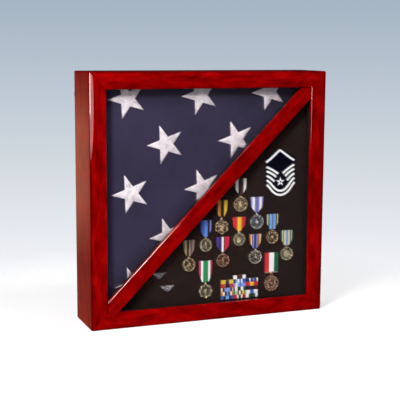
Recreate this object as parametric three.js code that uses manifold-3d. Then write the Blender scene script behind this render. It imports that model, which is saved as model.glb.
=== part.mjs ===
// Wall or shelf case for a folded flag and a set of medals.
// A square lacquered box has a glazed front, split by a diagonal bar into a flag window (upper left) and a
// medal window (lower right). The contents go in from behind, through a back door on a continuous hinge.
//
// Millimetres, +Z up, the front faces -Y. The origin is the centre of the base, at half the overall depth.

import * as THREE from 'three';
import { mergeVertices } from 'three/addons/utils/BufferGeometryUtils.js';
import Module from 'manifold-3d';

const wasm = await Module();
wasm.setup();

// ---- Driving dimensions -------------------------------------------------------------------------------

const CASE_SIDE = 571.5; // outer width and height of the square case
const CASE_DEPTH = 128; // front face to the back edges of the box
const GAP = 0.3; // clearance between pieces that touch
const MITRE_GAP = 0.22; // taken off each mitred end

const FACE_WIDTH = 38; // front frame member, across its face
const FACE_THICKNESS = 18;
const LIP_THICKNESS = 8; // the part of the member in front of the glass
const RABBET_WIDTH = 10; // step behind the lip that the glass sits in
const EDGE_RADIUS = 4; // outer front edges
const SIGHT_RADIUS = 3; // edges around the windows
const CORNER_RADIUS = 3; // the four edges that run front to back
const BAR_WIDTH = 35; // diagonal bar, across its face

const PANEL_THICKNESS = 15;
const BACK_EDGE_RADIUS = 2;
const DIVIDER_THICKNESS = 8;
const GLASS_THICKNESS = 3;
const GLASS_CLEARANCE = 1; // glass edge to the wall of the rabbet
const STOP_DEPTH = 10.1; // strips that hold the glass forward, front to back
const DIAGONAL_STOP_WIDTH = 5; // the two strips behind the diagonal bar, across
const BOARD_THICKNESS = 4;
const BOARD_CLEARANCE = 1;

const FLAG_LEG = 530; // short side of the folded triangle
const FLAG_THICKNESS = 92;
const FLAG_CLEARANCE = 2;

const DOOR_THICKNESS = 6;
const DOOR_CLEARANCE = 1;
const NOTCH_RADIUS = 13; // finger notch in the free edge of the door
const DOOR_SPACE = 2; // divider to the closed door

const HINGE_BOTTOM = 60;
const HINGE_LENGTH = 410;
const HINGE_KNUCKLES = 10;
const KNUCKLE_GAP = 0.4;
const BARREL_RADIUS = 2.5;
const HINGE_BORE_RADIUS = 1.4;
const HINGE_PIN_RADIUS = 1.1;
const LEAF_REACH = 14; // hinge axis to the leaf's free edge
const LEAF_THICKNESS = 1.2;
const LEAF_SETBACK = BARREL_RADIUS + 0.4; // keeps a leaf clear of the other leaf's knuckles

const CATCH_SIZE = new THREE.Vector3(16, 11, 46);
const STRIKE_SIZE = new THREE.Vector3(18, 1.2, 40);
const CATCH_HEIGHT = 360; // centre of the catch above the base

const HANGER_PIVOT_HEIGHT = 522;
const HANGER_PLATE = new THREE.Vector3(8, 1, 34);
const HANGER_BARREL_LENGTH = 6;
const HANGER_SCREW_RADIUS = 2.6;
const RING_WIDTH = 14; // outer width of the D ring
const RING_HEIGHT = 13; // pivot to the far side of the ring
const RING_WIRE_RADIUS = 1.2;

const BUMPER_RADIUS = 5.5;
const BUMPER_HEIGHT = 24;

const RIBBON_THICKNESS = 1.8;
const RIBBON_FOOT = 8; // usual width of a ribbon where it passes through the pendant's loop
const PENDANT_THICKNESS = 2.6;
const LOOP_RADIUS = 2.6; // usual outer radius of a pendant's loop
const LOOP_WIRE = 1.2;

// ---- Derived dimensions -------------------------------------------------------------------------------

const HALF = CASE_SIDE / 2;
const REAR_PROUD = GAP + 2 * BARREL_RADIUS; // the hinge barrel is what stands furthest behind the box
const FRONT_Y = -(CASE_DEPTH + REAR_PROUD) / 2;
const BACK_Y = FRONT_Y + CASE_DEPTH;
const SIGHT_HALF = HALF - FACE_WIDTH; // centre to the sight edge of the frame
const RABBET_HALF = SIGHT_HALF + RABBET_WIDTH;
const INSIDE_HALF = HALF - PANEL_THICKNESS; // centre to the inner face of a box panel
const GLASS_DEPTH = LIP_THICKNESS + GAP; // front face to the glass
const STOP_START = GLASS_DEPTH + GLASS_THICKNESS + GAP;
const BOARD_START = STOP_START + STOP_DEPTH + GAP; // front face to the medal board and to the flag
const DOOR_START = CASE_DEPTH - DOOR_THICKNESS;
const HINGE_X = -(INSIDE_HALF - DOOR_CLEARANCE / 2);
const HINGE_Y = BACK_Y + GAP + BARREL_RADIUS;
const EDGE_CENTRE_X = HALF - PANEL_THICKNESS / 2; // middle of a side panel's back edge

// ---- Finishes -----------------------------------------------------------------------------------------

function finish(color, roughness, metalness = 0) {
  return { color, roughness, metalness };
}

const CHERRY = finish(0x8c0c0a, 0.12);
const BARE_WOOD = finish(0x8a5a34, 0.6);
const BACK_BOARD = finish(0x4a2418, 0.7);
const BLACK_FELT = finish(0x1b1311, 0.95);
const LINER_BLACK = finish(0x17110f, 0.8);
const NAVY_COTTON = finish(0x2b2740, 0.9);
const GLASS = finish(0xdfe8ea, 0.03);
const BRASS = finish(0xb08d45, 0.3, 1);
const STEEL = finish(0xa9abad, 0.35, 1);
const RUBBER = finish(0x1d1d1f, 0.85);
const BRONZE = finish(0x7d6334, 0.35, 1);
const GOLD = finish(0xc29c4e, 0.25, 1);
const SILVER = finish(0xb9bcc6, 0.25, 1);

// ---- Geometry helpers ---------------------------------------------------------------------------------

function toSolid(geometry) {
  const bare = geometry.clone();
  bare.deleteAttribute('normal');
  bare.deleteAttribute('uv');
  const merged = mergeVertices(bare, 1e-4);
  return new wasm.Manifold(new wasm.Mesh({
    numProp: 3,
    vertProperties: new Float32Array(merged.attributes.position.array),
    triVerts: new Uint32Array(merged.index.array),
  }));
}

function toGeometry(solid) {
  const mesh = solid.getMesh();
  const geometry = new THREE.BufferGeometry();
  geometry.setAttribute('position', new THREE.BufferAttribute(new Float32Array(mesh.vertProperties), 3));
  geometry.setIndex(new THREE.BufferAttribute(new Uint32Array(mesh.triVerts), 1));
  geometry.computeVertexNormals();
  return geometry;
}

function join(first, ...others) {
  return toGeometry(others.reduce((sum, next) => sum.add(toSolid(next)), toSolid(first)));
}

function cut(first, ...tools) {
  return toGeometry(tools.reduce((rest, tool) => rest.subtract(toSolid(tool)), toSolid(first)));
}

function common(first, second) {
  return toGeometry(toSolid(first).intersect(toSolid(second)));
}

// A box given by its extents along x, y and z.
function block([x0, x1], [y0, y1], [z0, z1]) {
  const geometry = new THREE.BoxGeometry(x1 - x0, y1 - y0, z1 - z0);
  return geometry.translate((x0 + x1) / 2, (y0 + y1) / 2, (z0 + z1) / 2);
}

// A sheet with its outline in the x-z plane. Its front is at `depth` behind the front of the case.
function sheet(outline, depth, thickness, options = {}) {
  const geometry = new THREE.ExtrudeGeometry(outline, { depth: thickness, bevelEnabled: false, ...options });
  return geometry.rotateX(Math.PI / 2).translate(0, FRONT_Y + depth + thickness, 0);
}

function outlineOf(points) {
  return new THREE.Shape(points.map(([x, z]) => new THREE.Vector2(x, z)));
}

// A bar along x. The section's first coordinate becomes z and its second becomes y.
function barAlongX(section, length) {
  const settings = { depth: length, bevelEnabled: false, curveSegments: 6 };
  const geometry = new THREE.ExtrudeGeometry(section, settings);
  const turn = new THREE.Matrix4().makeBasis(
    new THREE.Vector3(0, 0, 1),
    new THREE.Vector3(0, 1, 0),
    new THREE.Vector3(-1, 0, 0),
  );
  return geometry.applyMatrix4(turn).translate(length / 2, 0, 0);
}

// One side of a square frame, as the bottom side about the frame's centre, mitred at both ends.
function mitredSide(section) {
  const geometry = barAlongX(section, CASE_SIDE);
  const position = geometry.attributes.position;
  for (let i = 0; i < position.count; i += 1) {
    const inward = position.getZ(i) + HALF;
    position.setX(i, Math.sign(position.getX(i)) * (HALF - inward - MITRE_GAP));
  }
  return geometry;
}

function tubeShape(outer, inner) {
  const shape = new THREE.Shape();
  shape.absarc(0, 0, outer, 0, 2 * Math.PI, false);
  const hole = new THREE.Path();
  hole.absarc(0, 0, inner, 0, 2 * Math.PI, true);
  shape.holes.push(hole);
  return shape;
}

function roundedSquarePrism(half, radius) {
  const shape = new THREE.Shape();
  const flat = half - radius;
  for (let k = 0; k < 4; k += 1) {
    const start = (k * Math.PI) / 2;
    const x = k === 0 || k === 3 ? flat : -flat;
    const z = k < 2 ? flat : -flat;
    shape.absarc(x, z, radius, start, start + Math.PI / 2, false);
  }
  return sheet(shape, -1, CASE_DEPTH + 2, { curveSegments: 6 });
}

// ---- Assembly -----------------------------------------------------------------------------------------

const displayCase = new THREE.Group();
const squareGroup = new THREE.Group(); // about the centre of the square
squareGroup.position.z = HALF;
// The diagonal group's x runs along the bar, up to the right, and its z to the upper left.
const diagonalGroup = new THREE.Group();
diagonalGroup.position.z = HALF;
diagonalGroup.rotation.y = -Math.PI / 4;
displayCase.add(squareGroup, diagonalGroup);

function piece(parent, name, geometry, look) {
  const mesh = new THREE.Mesh(geometry, new THREE.MeshStandardMaterial(look));
  mesh.name = name;
  parent.add(mesh);
  return mesh;
}

// Turns from the bottom side to each side of the square, about y.
const QUARTER_TURNS = { bottom: 0, left: 1, top: 2, right: 3 };

function sideOfSquare(name, side, geometry, look) {
  const mesh = piece(squareGroup, name, geometry, look);
  mesh.rotation.y = (QUARTER_TURNS[side] * Math.PI) / 2;
}

// ---- Front frame --------------------------------------------------------------------------------------

function frameSection() {
  const outer = -HALF;
  const inner = -SIGHT_HALF;
  const section = new THREE.Shape();
  section.moveTo(outer, FRONT_Y + FACE_THICKNESS);
  section.lineTo(outer, FRONT_Y + EDGE_RADIUS);
  section.absarc(outer + EDGE_RADIUS, FRONT_Y + EDGE_RADIUS, EDGE_RADIUS, Math.PI, 1.5 * Math.PI, false);
  const sightY = FRONT_Y + SIGHT_RADIUS;
  section.absarc(inner - SIGHT_RADIUS, sightY, SIGHT_RADIUS, 1.5 * Math.PI, 2 * Math.PI, false);
  section.lineTo(inner, FRONT_Y + LIP_THICKNESS);
  section.lineTo(inner - RABBET_WIDTH, FRONT_Y + LIP_THICKNESS);
  section.lineTo(inner - RABBET_WIDTH, FRONT_Y + FACE_THICKNESS);
  section.closePath();
  return section;
}

function frameMember() {
  return common(mitredSide(frameSection()), roundedSquarePrism(HALF, CORNER_RADIUS));
}

function barSection() {
  const edge = BAR_WIDTH / 2;
  const stem = edge - RABBET_WIDTH;
  const section = new THREE.Shape();
  section.moveTo(-stem, FRONT_Y + FACE_THICKNESS);
  section.lineTo(-stem, FRONT_Y + LIP_THICKNESS);
  section.lineTo(-edge, FRONT_Y + LIP_THICKNESS);
  section.lineTo(-edge, FRONT_Y + SIGHT_RADIUS);
  const sightY = FRONT_Y + SIGHT_RADIUS;
  section.absarc(-edge + SIGHT_RADIUS, sightY, SIGHT_RADIUS, Math.PI, 1.5 * Math.PI, false);
  section.absarc(edge - SIGHT_RADIUS, sightY, SIGHT_RADIUS, 1.5 * Math.PI, 2 * Math.PI, false);
  section.lineTo(edge, FRONT_Y + LIP_THICKNESS);
  section.lineTo(stem, FRONT_Y + LIP_THICKNESS);
  section.lineTo(stem, FRONT_Y + FACE_THICKNESS);
  section.closePath();
  return section;
}

// What remains of a diagonal piece inside a square of the given half size.
function insideSquare(geometry, half) {
  const square = block([-half, half], [FRONT_Y - 1, BACK_Y + 1], [-half, half]).rotateY(Math.PI / 4);
  return common(geometry, square);
}

const DIAGONAL_LENGTH = 2 * CASE_SIDE;

sideOfSquare('stile_left', 'left', frameMember(), CHERRY);
sideOfSquare('stile_right', 'right', frameMember(), CHERRY);
sideOfSquare('rail_top', 'top', frameMember(), CHERRY);
sideOfSquare('rail_bottom', 'bottom', frameMember(), CHERRY);
piece(
  diagonalGroup,
  'diagonal_bar',
  insideSquare(barAlongX(barSection(), DIAGONAL_LENGTH), SIGHT_HALF - GAP),
  CHERRY,
);

// ---- Box ----------------------------------------------------------------------------------------------

function panelSection() {
  const outer = -HALF;
  const round = BACK_EDGE_RADIUS;
  const section = new THREE.Shape();
  section.moveTo(outer, FRONT_Y + FACE_THICKNESS + GAP);
  section.lineTo(outer + PANEL_THICKNESS, FRONT_Y + FACE_THICKNESS + GAP);
  section.lineTo(outer + PANEL_THICKNESS, BACK_Y);
  section.absarc(outer + round, BACK_Y - round, round, 0.5 * Math.PI, Math.PI, false);
  section.closePath();
  return section;
}

function boxPanel() {
  return common(mitredSide(panelSection()), roundedSquarePrism(HALF, CORNER_RADIUS));
}

sideOfSquare('side_panel_left', 'left', boxPanel(), CHERRY);
sideOfSquare('side_panel_right', 'right', boxPanel(), CHERRY);
sideOfSquare('top_panel', 'top', boxPanel(), CHERRY);
sideOfSquare('bottom_panel', 'bottom', boxPanel(), CHERRY);

function diagonalBlock(depths, across, half) {
  const reach = DIAGONAL_LENGTH / 2;
  const [near, far] = depths;
  return insideSquare(block([-reach, reach], [FRONT_Y + near, FRONT_Y + far], across), half);
}

const dividerHalf = DIVIDER_THICKNESS / 2;
piece(
  diagonalGroup,
  'divider_board',
  diagonalBlock(
    [BOARD_START, DOOR_START - DOOR_SPACE],
    [-dividerHalf, dividerHalf],
    INSIDE_HALF - GAP,
  ),
  BARE_WOOD,
);

// ---- Glass and the strips behind it -------------------------------------------------------------------

// A right triangle with its legs on the left and top sides of a square of half size `half`, and its long side
// `offset` away from the square's diagonal.
function cornerTriangle(half, offset) {
  const step = offset * Math.SQRT2;
  return outlineOf([[-half, -half + step], [half - step, half], [-half, half]]);
}

const glassOutline = cornerTriangle(
  RABBET_HALF - GLASS_CLEARANCE,
  BAR_WIDTH / 2 - RABBET_WIDTH + GLASS_CLEARANCE,
);
piece(squareGroup, 'glass_flag', sheet(glassOutline, GLASS_DEPTH, GLASS_THICKNESS), GLASS);
piece(squareGroup, 'glass_medals', sheet(glassOutline, GLASS_DEPTH, GLASS_THICKNESS), GLASS)
  .rotation.y = Math.PI;

function stopSection() {
  const near = -RABBET_HALF + GAP;
  const far = -SIGHT_HALF - GAP;
  const front = FRONT_Y + STOP_START;
  const back = front + STOP_DEPTH;
  return outlineOf([[near, front], [far, front], [far, back], [near, back]]);
}

sideOfSquare('glass_stop_left', 'left', mitredSide(stopSection()), BARE_WOOD);
sideOfSquare('glass_stop_top', 'top', mitredSide(stopSection()), BARE_WOOD);
sideOfSquare('liner_right', 'right', mitredSide(stopSection()), LINER_BLACK);
sideOfSquare('liner_bottom', 'bottom', mitredSide(stopSection()), LINER_BLACK);

const stopDepths = [STOP_START, STOP_START + STOP_DEPTH];
const stopNear = BAR_WIDTH / 2 - RABBET_WIDTH + GAP;
const stopFar = stopNear + DIAGONAL_STOP_WIDTH;
piece(
  diagonalGroup,
  'glass_stop_diagonal',
  diagonalBlock(stopDepths, [stopNear, stopFar], SIGHT_HALF - 2 * GAP),
  BARE_WOOD,
);
piece(
  diagonalGroup,
  'liner_diagonal',
  diagonalBlock(stopDepths, [-stopFar, -stopNear], SIGHT_HALF - 2 * GAP),
  LINER_BLACK,
);

// ---- Contents: flag and medal board -------------------------------------------------------------------

const boardOutline = cornerTriangle(INSIDE_HALF - BOARD_CLEARANCE, dividerHalf + BOARD_CLEARANCE);
piece(squareGroup, 'medal_board', sheet(boardOutline, BOARD_START, BOARD_THICKNESS), BLACK_FELT)
  .rotation.y = Math.PI;

const flagHalf = INSIDE_HALF - FLAG_CLEARANCE;
const flagOutline = outlineOf([
  [-flagHalf, flagHalf - FLAG_LEG],
  [-flagHalf + FLAG_LEG, flagHalf],
  [-flagHalf, flagHalf],
]);
piece(squareGroup, 'folded_flag', sheet(flagOutline, BOARD_START, FLAG_THICKNESS), NAVY_COTTON);

// ---- Medals -------------------------------------------------------------------------------------------

// A ribbon hangs from its top edge and is drawn in to a narrow foot, where the pendant's loop passes.
function ribbonOutline(width, length, footWidth) {
  const half = width / 2;
  const foot = footWidth / 2;
  return outlineOf([
    [-foot, -length],
    [foot, -length],
    [half * 0.86, -length * 0.62],
    [half, 0],
    [-half, 0],
    [-half * 0.86, -length * 0.62],
  ]);
}

// Rim of a pendant: its radius at angle `t`, as a share of the pendant's radius.
const RIMS = {
  round: () => 1,
  hexagon: (t) => Math.cos(Math.PI / 6) / Math.cos((t % (Math.PI / 3)) - Math.PI / 6),
  petals: (t) => 0.9 + 0.1 * Math.abs(Math.cos(6 * t)),
  rays: (t) => 0.78 + 0.22 * Math.abs(Math.cos(4 * t)),
};
const RIM_STEPS = { round: 32, hexagon: 36, petals: 72, rays: 64 };

function pendantGeometry(rim, radius, loopRadius) {
  const steps = RIM_STEPS[rim];
  const points = [];
  for (let i = 0; i < steps; i += 1) {
    const t = (2 * Math.PI * i) / steps;
    const r = radius * RIMS[rim](t);
    points.push([r * Math.sin(t), r * Math.cos(t)]);
  }
  const disc = sheet(outlineOf(points), 0, PENDANT_THICKNESS);
  const loop = new THREE.TorusGeometry(loopRadius - LOOP_WIRE / 2, LOOP_WIRE / 2, 8, 16);
  loop.rotateX(Math.PI / 2).translate(0, FRONT_Y + PENDANT_THICKNESS / 2, radius + loopRadius - LOOP_WIRE);
  return join(disc, loop);
}

// Each medal: the middle and the top edge of its ribbon on the board, the ribbon's width, length and colour,
// the pendant's radius and finish, and what differs from a round rim and the usual foot and loop.
const MEDALS = [
  { x: 79.8, top: 324.2, width: 29, length: 38, ribbon: 0x5a1a1e, radius: 17, metal: BRONZE },
  {
    x: 32.6, top: 275.5, width: 29, length: 37, ribbon: 0x1c1612, radius: 17.5,
    metal: BRONZE, rim: 'hexagon', foot: 14,
  },
  {
    x: 121.5, top: 279, width: 32.5, length: 36, ribbon: 0x8f8bd0, radius: 17.3,
    metal: SILVER, rim: 'petals',
  },
  { x: -7, top: 231, width: 30, length: 37.8, ribbon: 0x3f6cc4, radius: 15, metal: GOLD, foot: 10 },
  { x: 76.8, top: 234, width: 33, length: 32.6, ribbon: 0xd22c33, radius: 15, metal: GOLD },
  { x: 162.5, top: 236.3, width: 31, length: 35, ribbon: 0x6fa8dc, radius: 15.3, metal: BRONZE, foot: 15 },
  { x: -48.7, top: 187, width: 28, length: 36.6, ribbon: 0x6b4c3a, radius: 15.3, metal: BRONZE, foot: 10 },
  { x: 36, top: 189.3, width: 33, length: 34.6, ribbon: 0xb02a3c, radius: 15.5, metal: BRONZE },
  {
    x: 118.8, top: 190.8, width: 30, length: 32.7, ribbon: 0xc98a4a, radius: 16.3,
    metal: BRONZE, foot: 12,
  },
  { x: 200.8, top: 195, width: 33, length: 35, ribbon: 0x4f8f5a, radius: 16, metal: GOLD, foot: 13 },
  {
    x: -7, top: 135.8, width: 35, length: 49, ribbon: 0x1f8a4c, radius: 17,
    metal: GOLD, rim: 'rays', foot: 17,
  },
  {
    x: 161.8, top: 143.5, width: 35, length: 48.5, ribbon: 0xe6e2da, radius: 18,
    metal: BRONZE, foot: 35, loop: 4,
  },
];

function addMedal(medal, index) {
  const { x, width, length, radius } = medal;
  const loopRadius = medal.loop ?? LOOP_RADIUS;
  const top = medal.top - HALF;
  const ribbonDepth = BOARD_START - GAP - RIBBON_THICKNESS;
  const outline = ribbonOutline(width, length, medal.foot ?? RIBBON_FOOT);
  const ribbon = sheet(outline, ribbonDepth, RIBBON_THICKNESS).translate(x, 0, top);
  piece(squareGroup, `medal_${index + 1}_ribbon`, ribbon, finish(medal.ribbon, 0.85));

  const hang = length + GAP + 2 * loopRadius - LOOP_WIRE / 2 + radius;
  const pendant = pendantGeometry(medal.rim ?? 'round', radius, loopRadius);
  pendant.translate(x, BOARD_START - GAP - PENDANT_THICKNESS, top - hang);
  piece(squareGroup, `medal_${index + 1}_pendant`, pendant, medal.metal);
}

MEDALS.forEach(addMedal);

// ---- Insignia -----------------------------------------------------------------------------------------

const PATCH = { x: 181, top: 390.7, width: 77, height: 112, peak: 20, thickness: 1.6 };
const RACK = { left: 31.8, bottom: 39.5, columnWidth: 31.5, rowHeight: 9.4, rows: [5, 6, 5], thickness: 3 };
const BADGE = { halfWidth: 17.5, halfHeight: 7.5, thickness: 2.2 };

// Sleeve patch: a peaked top, straight sides and a round bottom.
function patchOutline() {
  const half = PATCH.width / 2;
  const shoulder = PATCH.height - PATCH.peak;
  const shape = new THREE.Shape();
  shape.moveTo(half, half);
  shape.lineTo(half, shoulder);
  shape.lineTo(0, PATCH.height);
  shape.lineTo(-half, shoulder);
  shape.lineTo(-half, half);
  shape.absarc(0, half, half, Math.PI, 2 * Math.PI, false);
  return shape;
}

// Columns of ribbon bars on one stepped backing.
function rackOutline() {
  const points = [[0, 0], [RACK.rows.length * RACK.columnWidth, 0]];
  for (let column = RACK.rows.length - 1; column >= 0; column -= 1) {
    const height = RACK.rows[column] * RACK.rowHeight;
    points.push([(column + 1) * RACK.columnWidth, height], [column * RACK.columnWidth, height]);
  }
  return outlineOf(points);
}

// Winged badge: a round centre between two wings that narrow to their tips.
function badgeOutline() {
  const { halfWidth, halfHeight } = BADGE;
  const wing = [[halfHeight * 0.8, halfHeight * 0.35], [halfWidth, halfHeight * 0.75], [halfWidth * 0.9, 0]];
  const shape = new THREE.Shape();
  shape.moveTo(...wing[0]);
  shape.lineTo(...wing[1]);
  shape.lineTo(...wing[2]);
  shape.lineTo(wing[0][0], -wing[0][1]);
  shape.absarc(0, 0, halfHeight, -0.3 * Math.PI, -0.7 * Math.PI, true);
  shape.lineTo(-wing[0][0], -wing[0][1]);
  shape.lineTo(-wing[2][0], wing[2][1]);
  shape.lineTo(-wing[1][0], wing[1][1]);
  shape.lineTo(-wing[0][0], wing[0][1]);
  shape.absarc(0, 0, halfHeight, 0.7 * Math.PI, 0.3 * Math.PI, true);
  return shape;
}

// A thin piece pinned to the front of the medal board. `x` and `z` place its outline's origin.
function pinned(name, outline, thickness, x, z, look) {
  const geometry = sheet(outline, BOARD_START - GAP - thickness, thickness, { curveSegments: 10 });
  piece(displayCase, name, geometry.translate(x, 0, z), look);
}

const patchBottom = PATCH.top - PATCH.height;
pinned('chevron_patch', patchOutline(), PATCH.thickness, PATCH.x, patchBottom, finish(0x14141f, 0.9));
pinned('ribbon_rack', rackOutline(), RACK.thickness, RACK.left, RACK.bottom, finish(0x9a3340, 0.8));
pinned('badge_upper', badgeOutline(), BADGE.thickness, -121, 110, SILVER);
pinned('badge_lower', badgeOutline(), BADGE.thickness, -101, 79, SILVER);

// ---- Back door and its hinge --------------------------------------------------------------------------

const doorHalf = INSIDE_HALF - DOOR_CLEARANCE;

function doorOutline() {
  const shape = new THREE.Shape();
  shape.moveTo(-doorHalf, -doorHalf);
  shape.lineTo(doorHalf, -doorHalf);
  shape.absarc(doorHalf, 0, NOTCH_RADIUS, -Math.PI / 2, Math.PI / 2, true);
  shape.lineTo(doorHalf, doorHalf);
  shape.lineTo(-doorHalf, doorHalf);
  return shape;
}

piece(squareGroup, 'back_door', sheet(doorOutline(), DOOR_START, DOOR_THICKNESS), BACK_BOARD);

function upright(shape, bottom, height, segments = 8) {
  const geometry = new THREE.ExtrudeGeometry(shape, {
    depth: height,
    bevelEnabled: false,
    curveSegments: segments,
  });
  return geometry.translate(HINGE_X, HINGE_Y, bottom);
}

// One leaf of the hinge: a long plate and every second knuckle. `side` is -1 on the case and 1 on the door.
function hingeLeaf(side, firstKnuckle) {
  const plateY = [BACK_Y + GAP, BACK_Y + GAP + LEAF_THICKNESS];
  const span = (near, far) => [HINGE_X + side * near, HINGE_X + side * far].sort((a, b) => a - b);
  const plate = block(
    span(LEAF_SETBACK, LEAF_REACH),
    plateY,
    [HINGE_BOTTOM, HINGE_BOTTOM + HINGE_LENGTH],
  );
  const pitch = HINGE_LENGTH / HINGE_KNUCKLES;
  const additions = [];
  const bores = [];
  for (let k = firstKnuckle; k < HINGE_KNUCKLES; k += 2) {
    const bottom = HINGE_BOTTOM + k * pitch + KNUCKLE_GAP / 2;
    const height = pitch - KNUCKLE_GAP;
    additions.push(upright(discShape(BARREL_RADIUS), bottom, height));
    additions.push(block(span(0, LEAF_SETBACK + 1), plateY, [bottom, bottom + height]));
    bores.push(upright(discShape(HINGE_BORE_RADIUS), bottom - 1, height + 2, 6));
  }
  return cut(join(plate, ...additions), ...bores);
}

function discShape(radius) {
  const shape = new THREE.Shape();
  shape.absarc(0, 0, radius, 0, 2 * Math.PI, false);
  return shape;
}

piece(displayCase, 'hinge_leaf_case', hingeLeaf(-1, 0), BRASS);
piece(displayCase, 'hinge_leaf_door', hingeLeaf(1, 1), BRASS);
piece(displayCase, 'hinge_pin', upright(discShape(HINGE_PIN_RADIUS), HINGE_BOTTOM, HINGE_LENGTH), STEEL);

// ---- Magnetic catch -----------------------------------------------------------------------------------

const strikeFront = FRONT_Y + DOOR_START - GAP - STRIKE_SIZE.y;
const catchZ = [CATCH_HEIGHT - CATCH_SIZE.z / 2, CATCH_HEIGHT + CATCH_SIZE.z / 2];
const catchX = [INSIDE_HALF - GAP - CATCH_SIZE.x, INSIDE_HALF - GAP];
piece(
  displayCase,
  'magnetic_catch',
  block(catchX, [strikeFront - GAP - CATCH_SIZE.y, strikeFront - GAP], catchZ),
  finish(0xe6e2d8, 0.5),
);
piece(
  displayCase,
  'strike_plate',
  block(
    [doorHalf - 1 - STRIKE_SIZE.x, doorHalf - 1],
    [strikeFront, strikeFront + STRIKE_SIZE.y],
    [CATCH_HEIGHT - STRIKE_SIZE.z / 2, CATCH_HEIGHT + STRIKE_SIZE.z / 2],
  ),
  STEEL,
);

// ---- Wall hangers and bumpers -------------------------------------------------------------------------

// A strap screwed to the back edge of a side panel, rolled at its top around a free D ring.
function hangerPlate(x) {
  const half = HANGER_PLATE.x / 2;
  const wood = BACK_Y + GAP;
  const strap = block(
    [x - half, x + half],
    [wood, wood + HANGER_PLATE.y],
    [HANGER_PIVOT_HEIGHT - HANGER_PLATE.z, HANGER_PIVOT_HEIGHT],
  );
  const roll = new THREE.ExtrudeGeometry(tubeShape(BARREL_RADIUS, RING_WIRE_RADIUS + GAP), {
    depth: HANGER_BARREL_LENGTH,
    bevelEnabled: false,
    curveSegments: 8,
  });
  roll.rotateY(Math.PI / 2).translate(x - HANGER_BARREL_LENGTH / 2, HINGE_Y, HANGER_PIVOT_HEIGHT);
  const bore = new THREE.CylinderGeometry(RING_WIRE_RADIUS + GAP, RING_WIRE_RADIUS + GAP, CASE_DEPTH, 16);
  bore.rotateZ(Math.PI / 2).translate(x, HINGE_Y, HANGER_PIVOT_HEIGHT);
  const screw = new THREE.CylinderGeometry(HANGER_SCREW_RADIUS * 0.7, HANGER_SCREW_RADIUS, 1, 16);
  screw.translate(x, wood + HANGER_PLATE.y + 0.4, HANGER_PIVOT_HEIGHT - HANGER_PLATE.z * 0.75);
  return join(cut(strap, bore), roll, screw);
}

// A D ring that hangs below its straight side, which lies in the strap's roll.
function hangerRing(x) {
  const legs = RING_WIDTH / 2 - RING_WIRE_RADIUS;
  const drop = RING_HEIGHT - RING_WIRE_RADIUS - legs;
  const path = new THREE.CurvePath();
  path.add(new THREE.LineCurve3(new THREE.Vector3(-legs, 0, 0), new THREE.Vector3(-legs, 0, -drop)));
  const bend = new THREE.CubicBezierCurve3(
    new THREE.Vector3(-legs, 0, -drop),
    new THREE.Vector3(-legs, 0, -drop - legs * 1.33),
    new THREE.Vector3(legs, 0, -drop - legs * 1.33),
    new THREE.Vector3(legs, 0, -drop),
  );
  path.add(bend);
  path.add(new THREE.LineCurve3(new THREE.Vector3(legs, 0, -drop), new THREE.Vector3(legs, 0, 0)));
  const loop = new THREE.ExtrudeGeometry(discShape(RING_WIRE_RADIUS), {
    extrudePath: path,
    steps: 24,
    curveSegments: 5,
  });
  const bar = new THREE.CylinderGeometry(RING_WIRE_RADIUS, RING_WIRE_RADIUS, RING_WIDTH, 10);
  bar.rotateZ(Math.PI / 2);
  return join(loop, bar).translate(x, HINGE_Y, HANGER_PIVOT_HEIGHT);
}

for (const [name, side] of [['left', -1], ['right', 1]]) {
  const x = side * EDGE_CENTRE_X;
  piece(displayCase, `hanger_plate_${name}`, hangerPlate(x), STEEL);
  piece(displayCase, `hanger_ring_${name}`, hangerRing(x), STEEL);
  const bumper = sheet(discShape(BUMPER_RADIUS), CASE_DEPTH + GAP, REAR_PROUD - GAP);
  piece(displayCase, `wall_bumper_${name}`, bumper.translate(x, 0, BUMPER_HEIGHT), RUBBER);
}

export default displayCase;
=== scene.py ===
"""Looks for a square cherry case that shows a folded flag and a set of medals.

The CAD frame gives every place and size. This script makes the finished surfaces round it: lacquered
members, sewn stars, draped ribbons, struck pendants, embroidery and the small screws.
Metres, +Z up, the front of the case faces -Y.
"""
import math

import bmesh
import bpy
import numpy as np
from mathutils import Matrix, Vector, noise
from mathutils.bvhtree import BVHTree


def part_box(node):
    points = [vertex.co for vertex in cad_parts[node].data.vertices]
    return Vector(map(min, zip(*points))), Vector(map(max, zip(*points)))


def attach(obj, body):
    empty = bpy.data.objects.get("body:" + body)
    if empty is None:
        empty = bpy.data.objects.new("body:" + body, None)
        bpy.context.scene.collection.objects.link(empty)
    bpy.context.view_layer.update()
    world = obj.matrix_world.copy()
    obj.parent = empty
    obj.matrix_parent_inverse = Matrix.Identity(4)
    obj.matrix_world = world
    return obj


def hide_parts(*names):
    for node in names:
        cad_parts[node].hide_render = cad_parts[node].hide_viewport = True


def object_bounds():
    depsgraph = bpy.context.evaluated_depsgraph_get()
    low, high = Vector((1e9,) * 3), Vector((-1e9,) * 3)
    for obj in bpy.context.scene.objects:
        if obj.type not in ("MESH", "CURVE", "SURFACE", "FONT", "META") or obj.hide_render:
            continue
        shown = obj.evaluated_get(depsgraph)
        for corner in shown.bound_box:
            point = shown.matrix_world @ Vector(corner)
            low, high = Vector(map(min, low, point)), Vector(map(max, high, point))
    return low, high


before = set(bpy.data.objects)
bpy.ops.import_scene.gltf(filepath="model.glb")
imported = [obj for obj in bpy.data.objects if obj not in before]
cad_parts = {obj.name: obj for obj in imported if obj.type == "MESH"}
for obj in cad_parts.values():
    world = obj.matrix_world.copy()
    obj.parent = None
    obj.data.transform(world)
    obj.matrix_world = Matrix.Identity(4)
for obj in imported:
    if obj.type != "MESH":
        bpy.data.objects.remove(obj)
CAD_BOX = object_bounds()

# ---- Sizes read from the frame --------------------------------------------------------------------------

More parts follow.
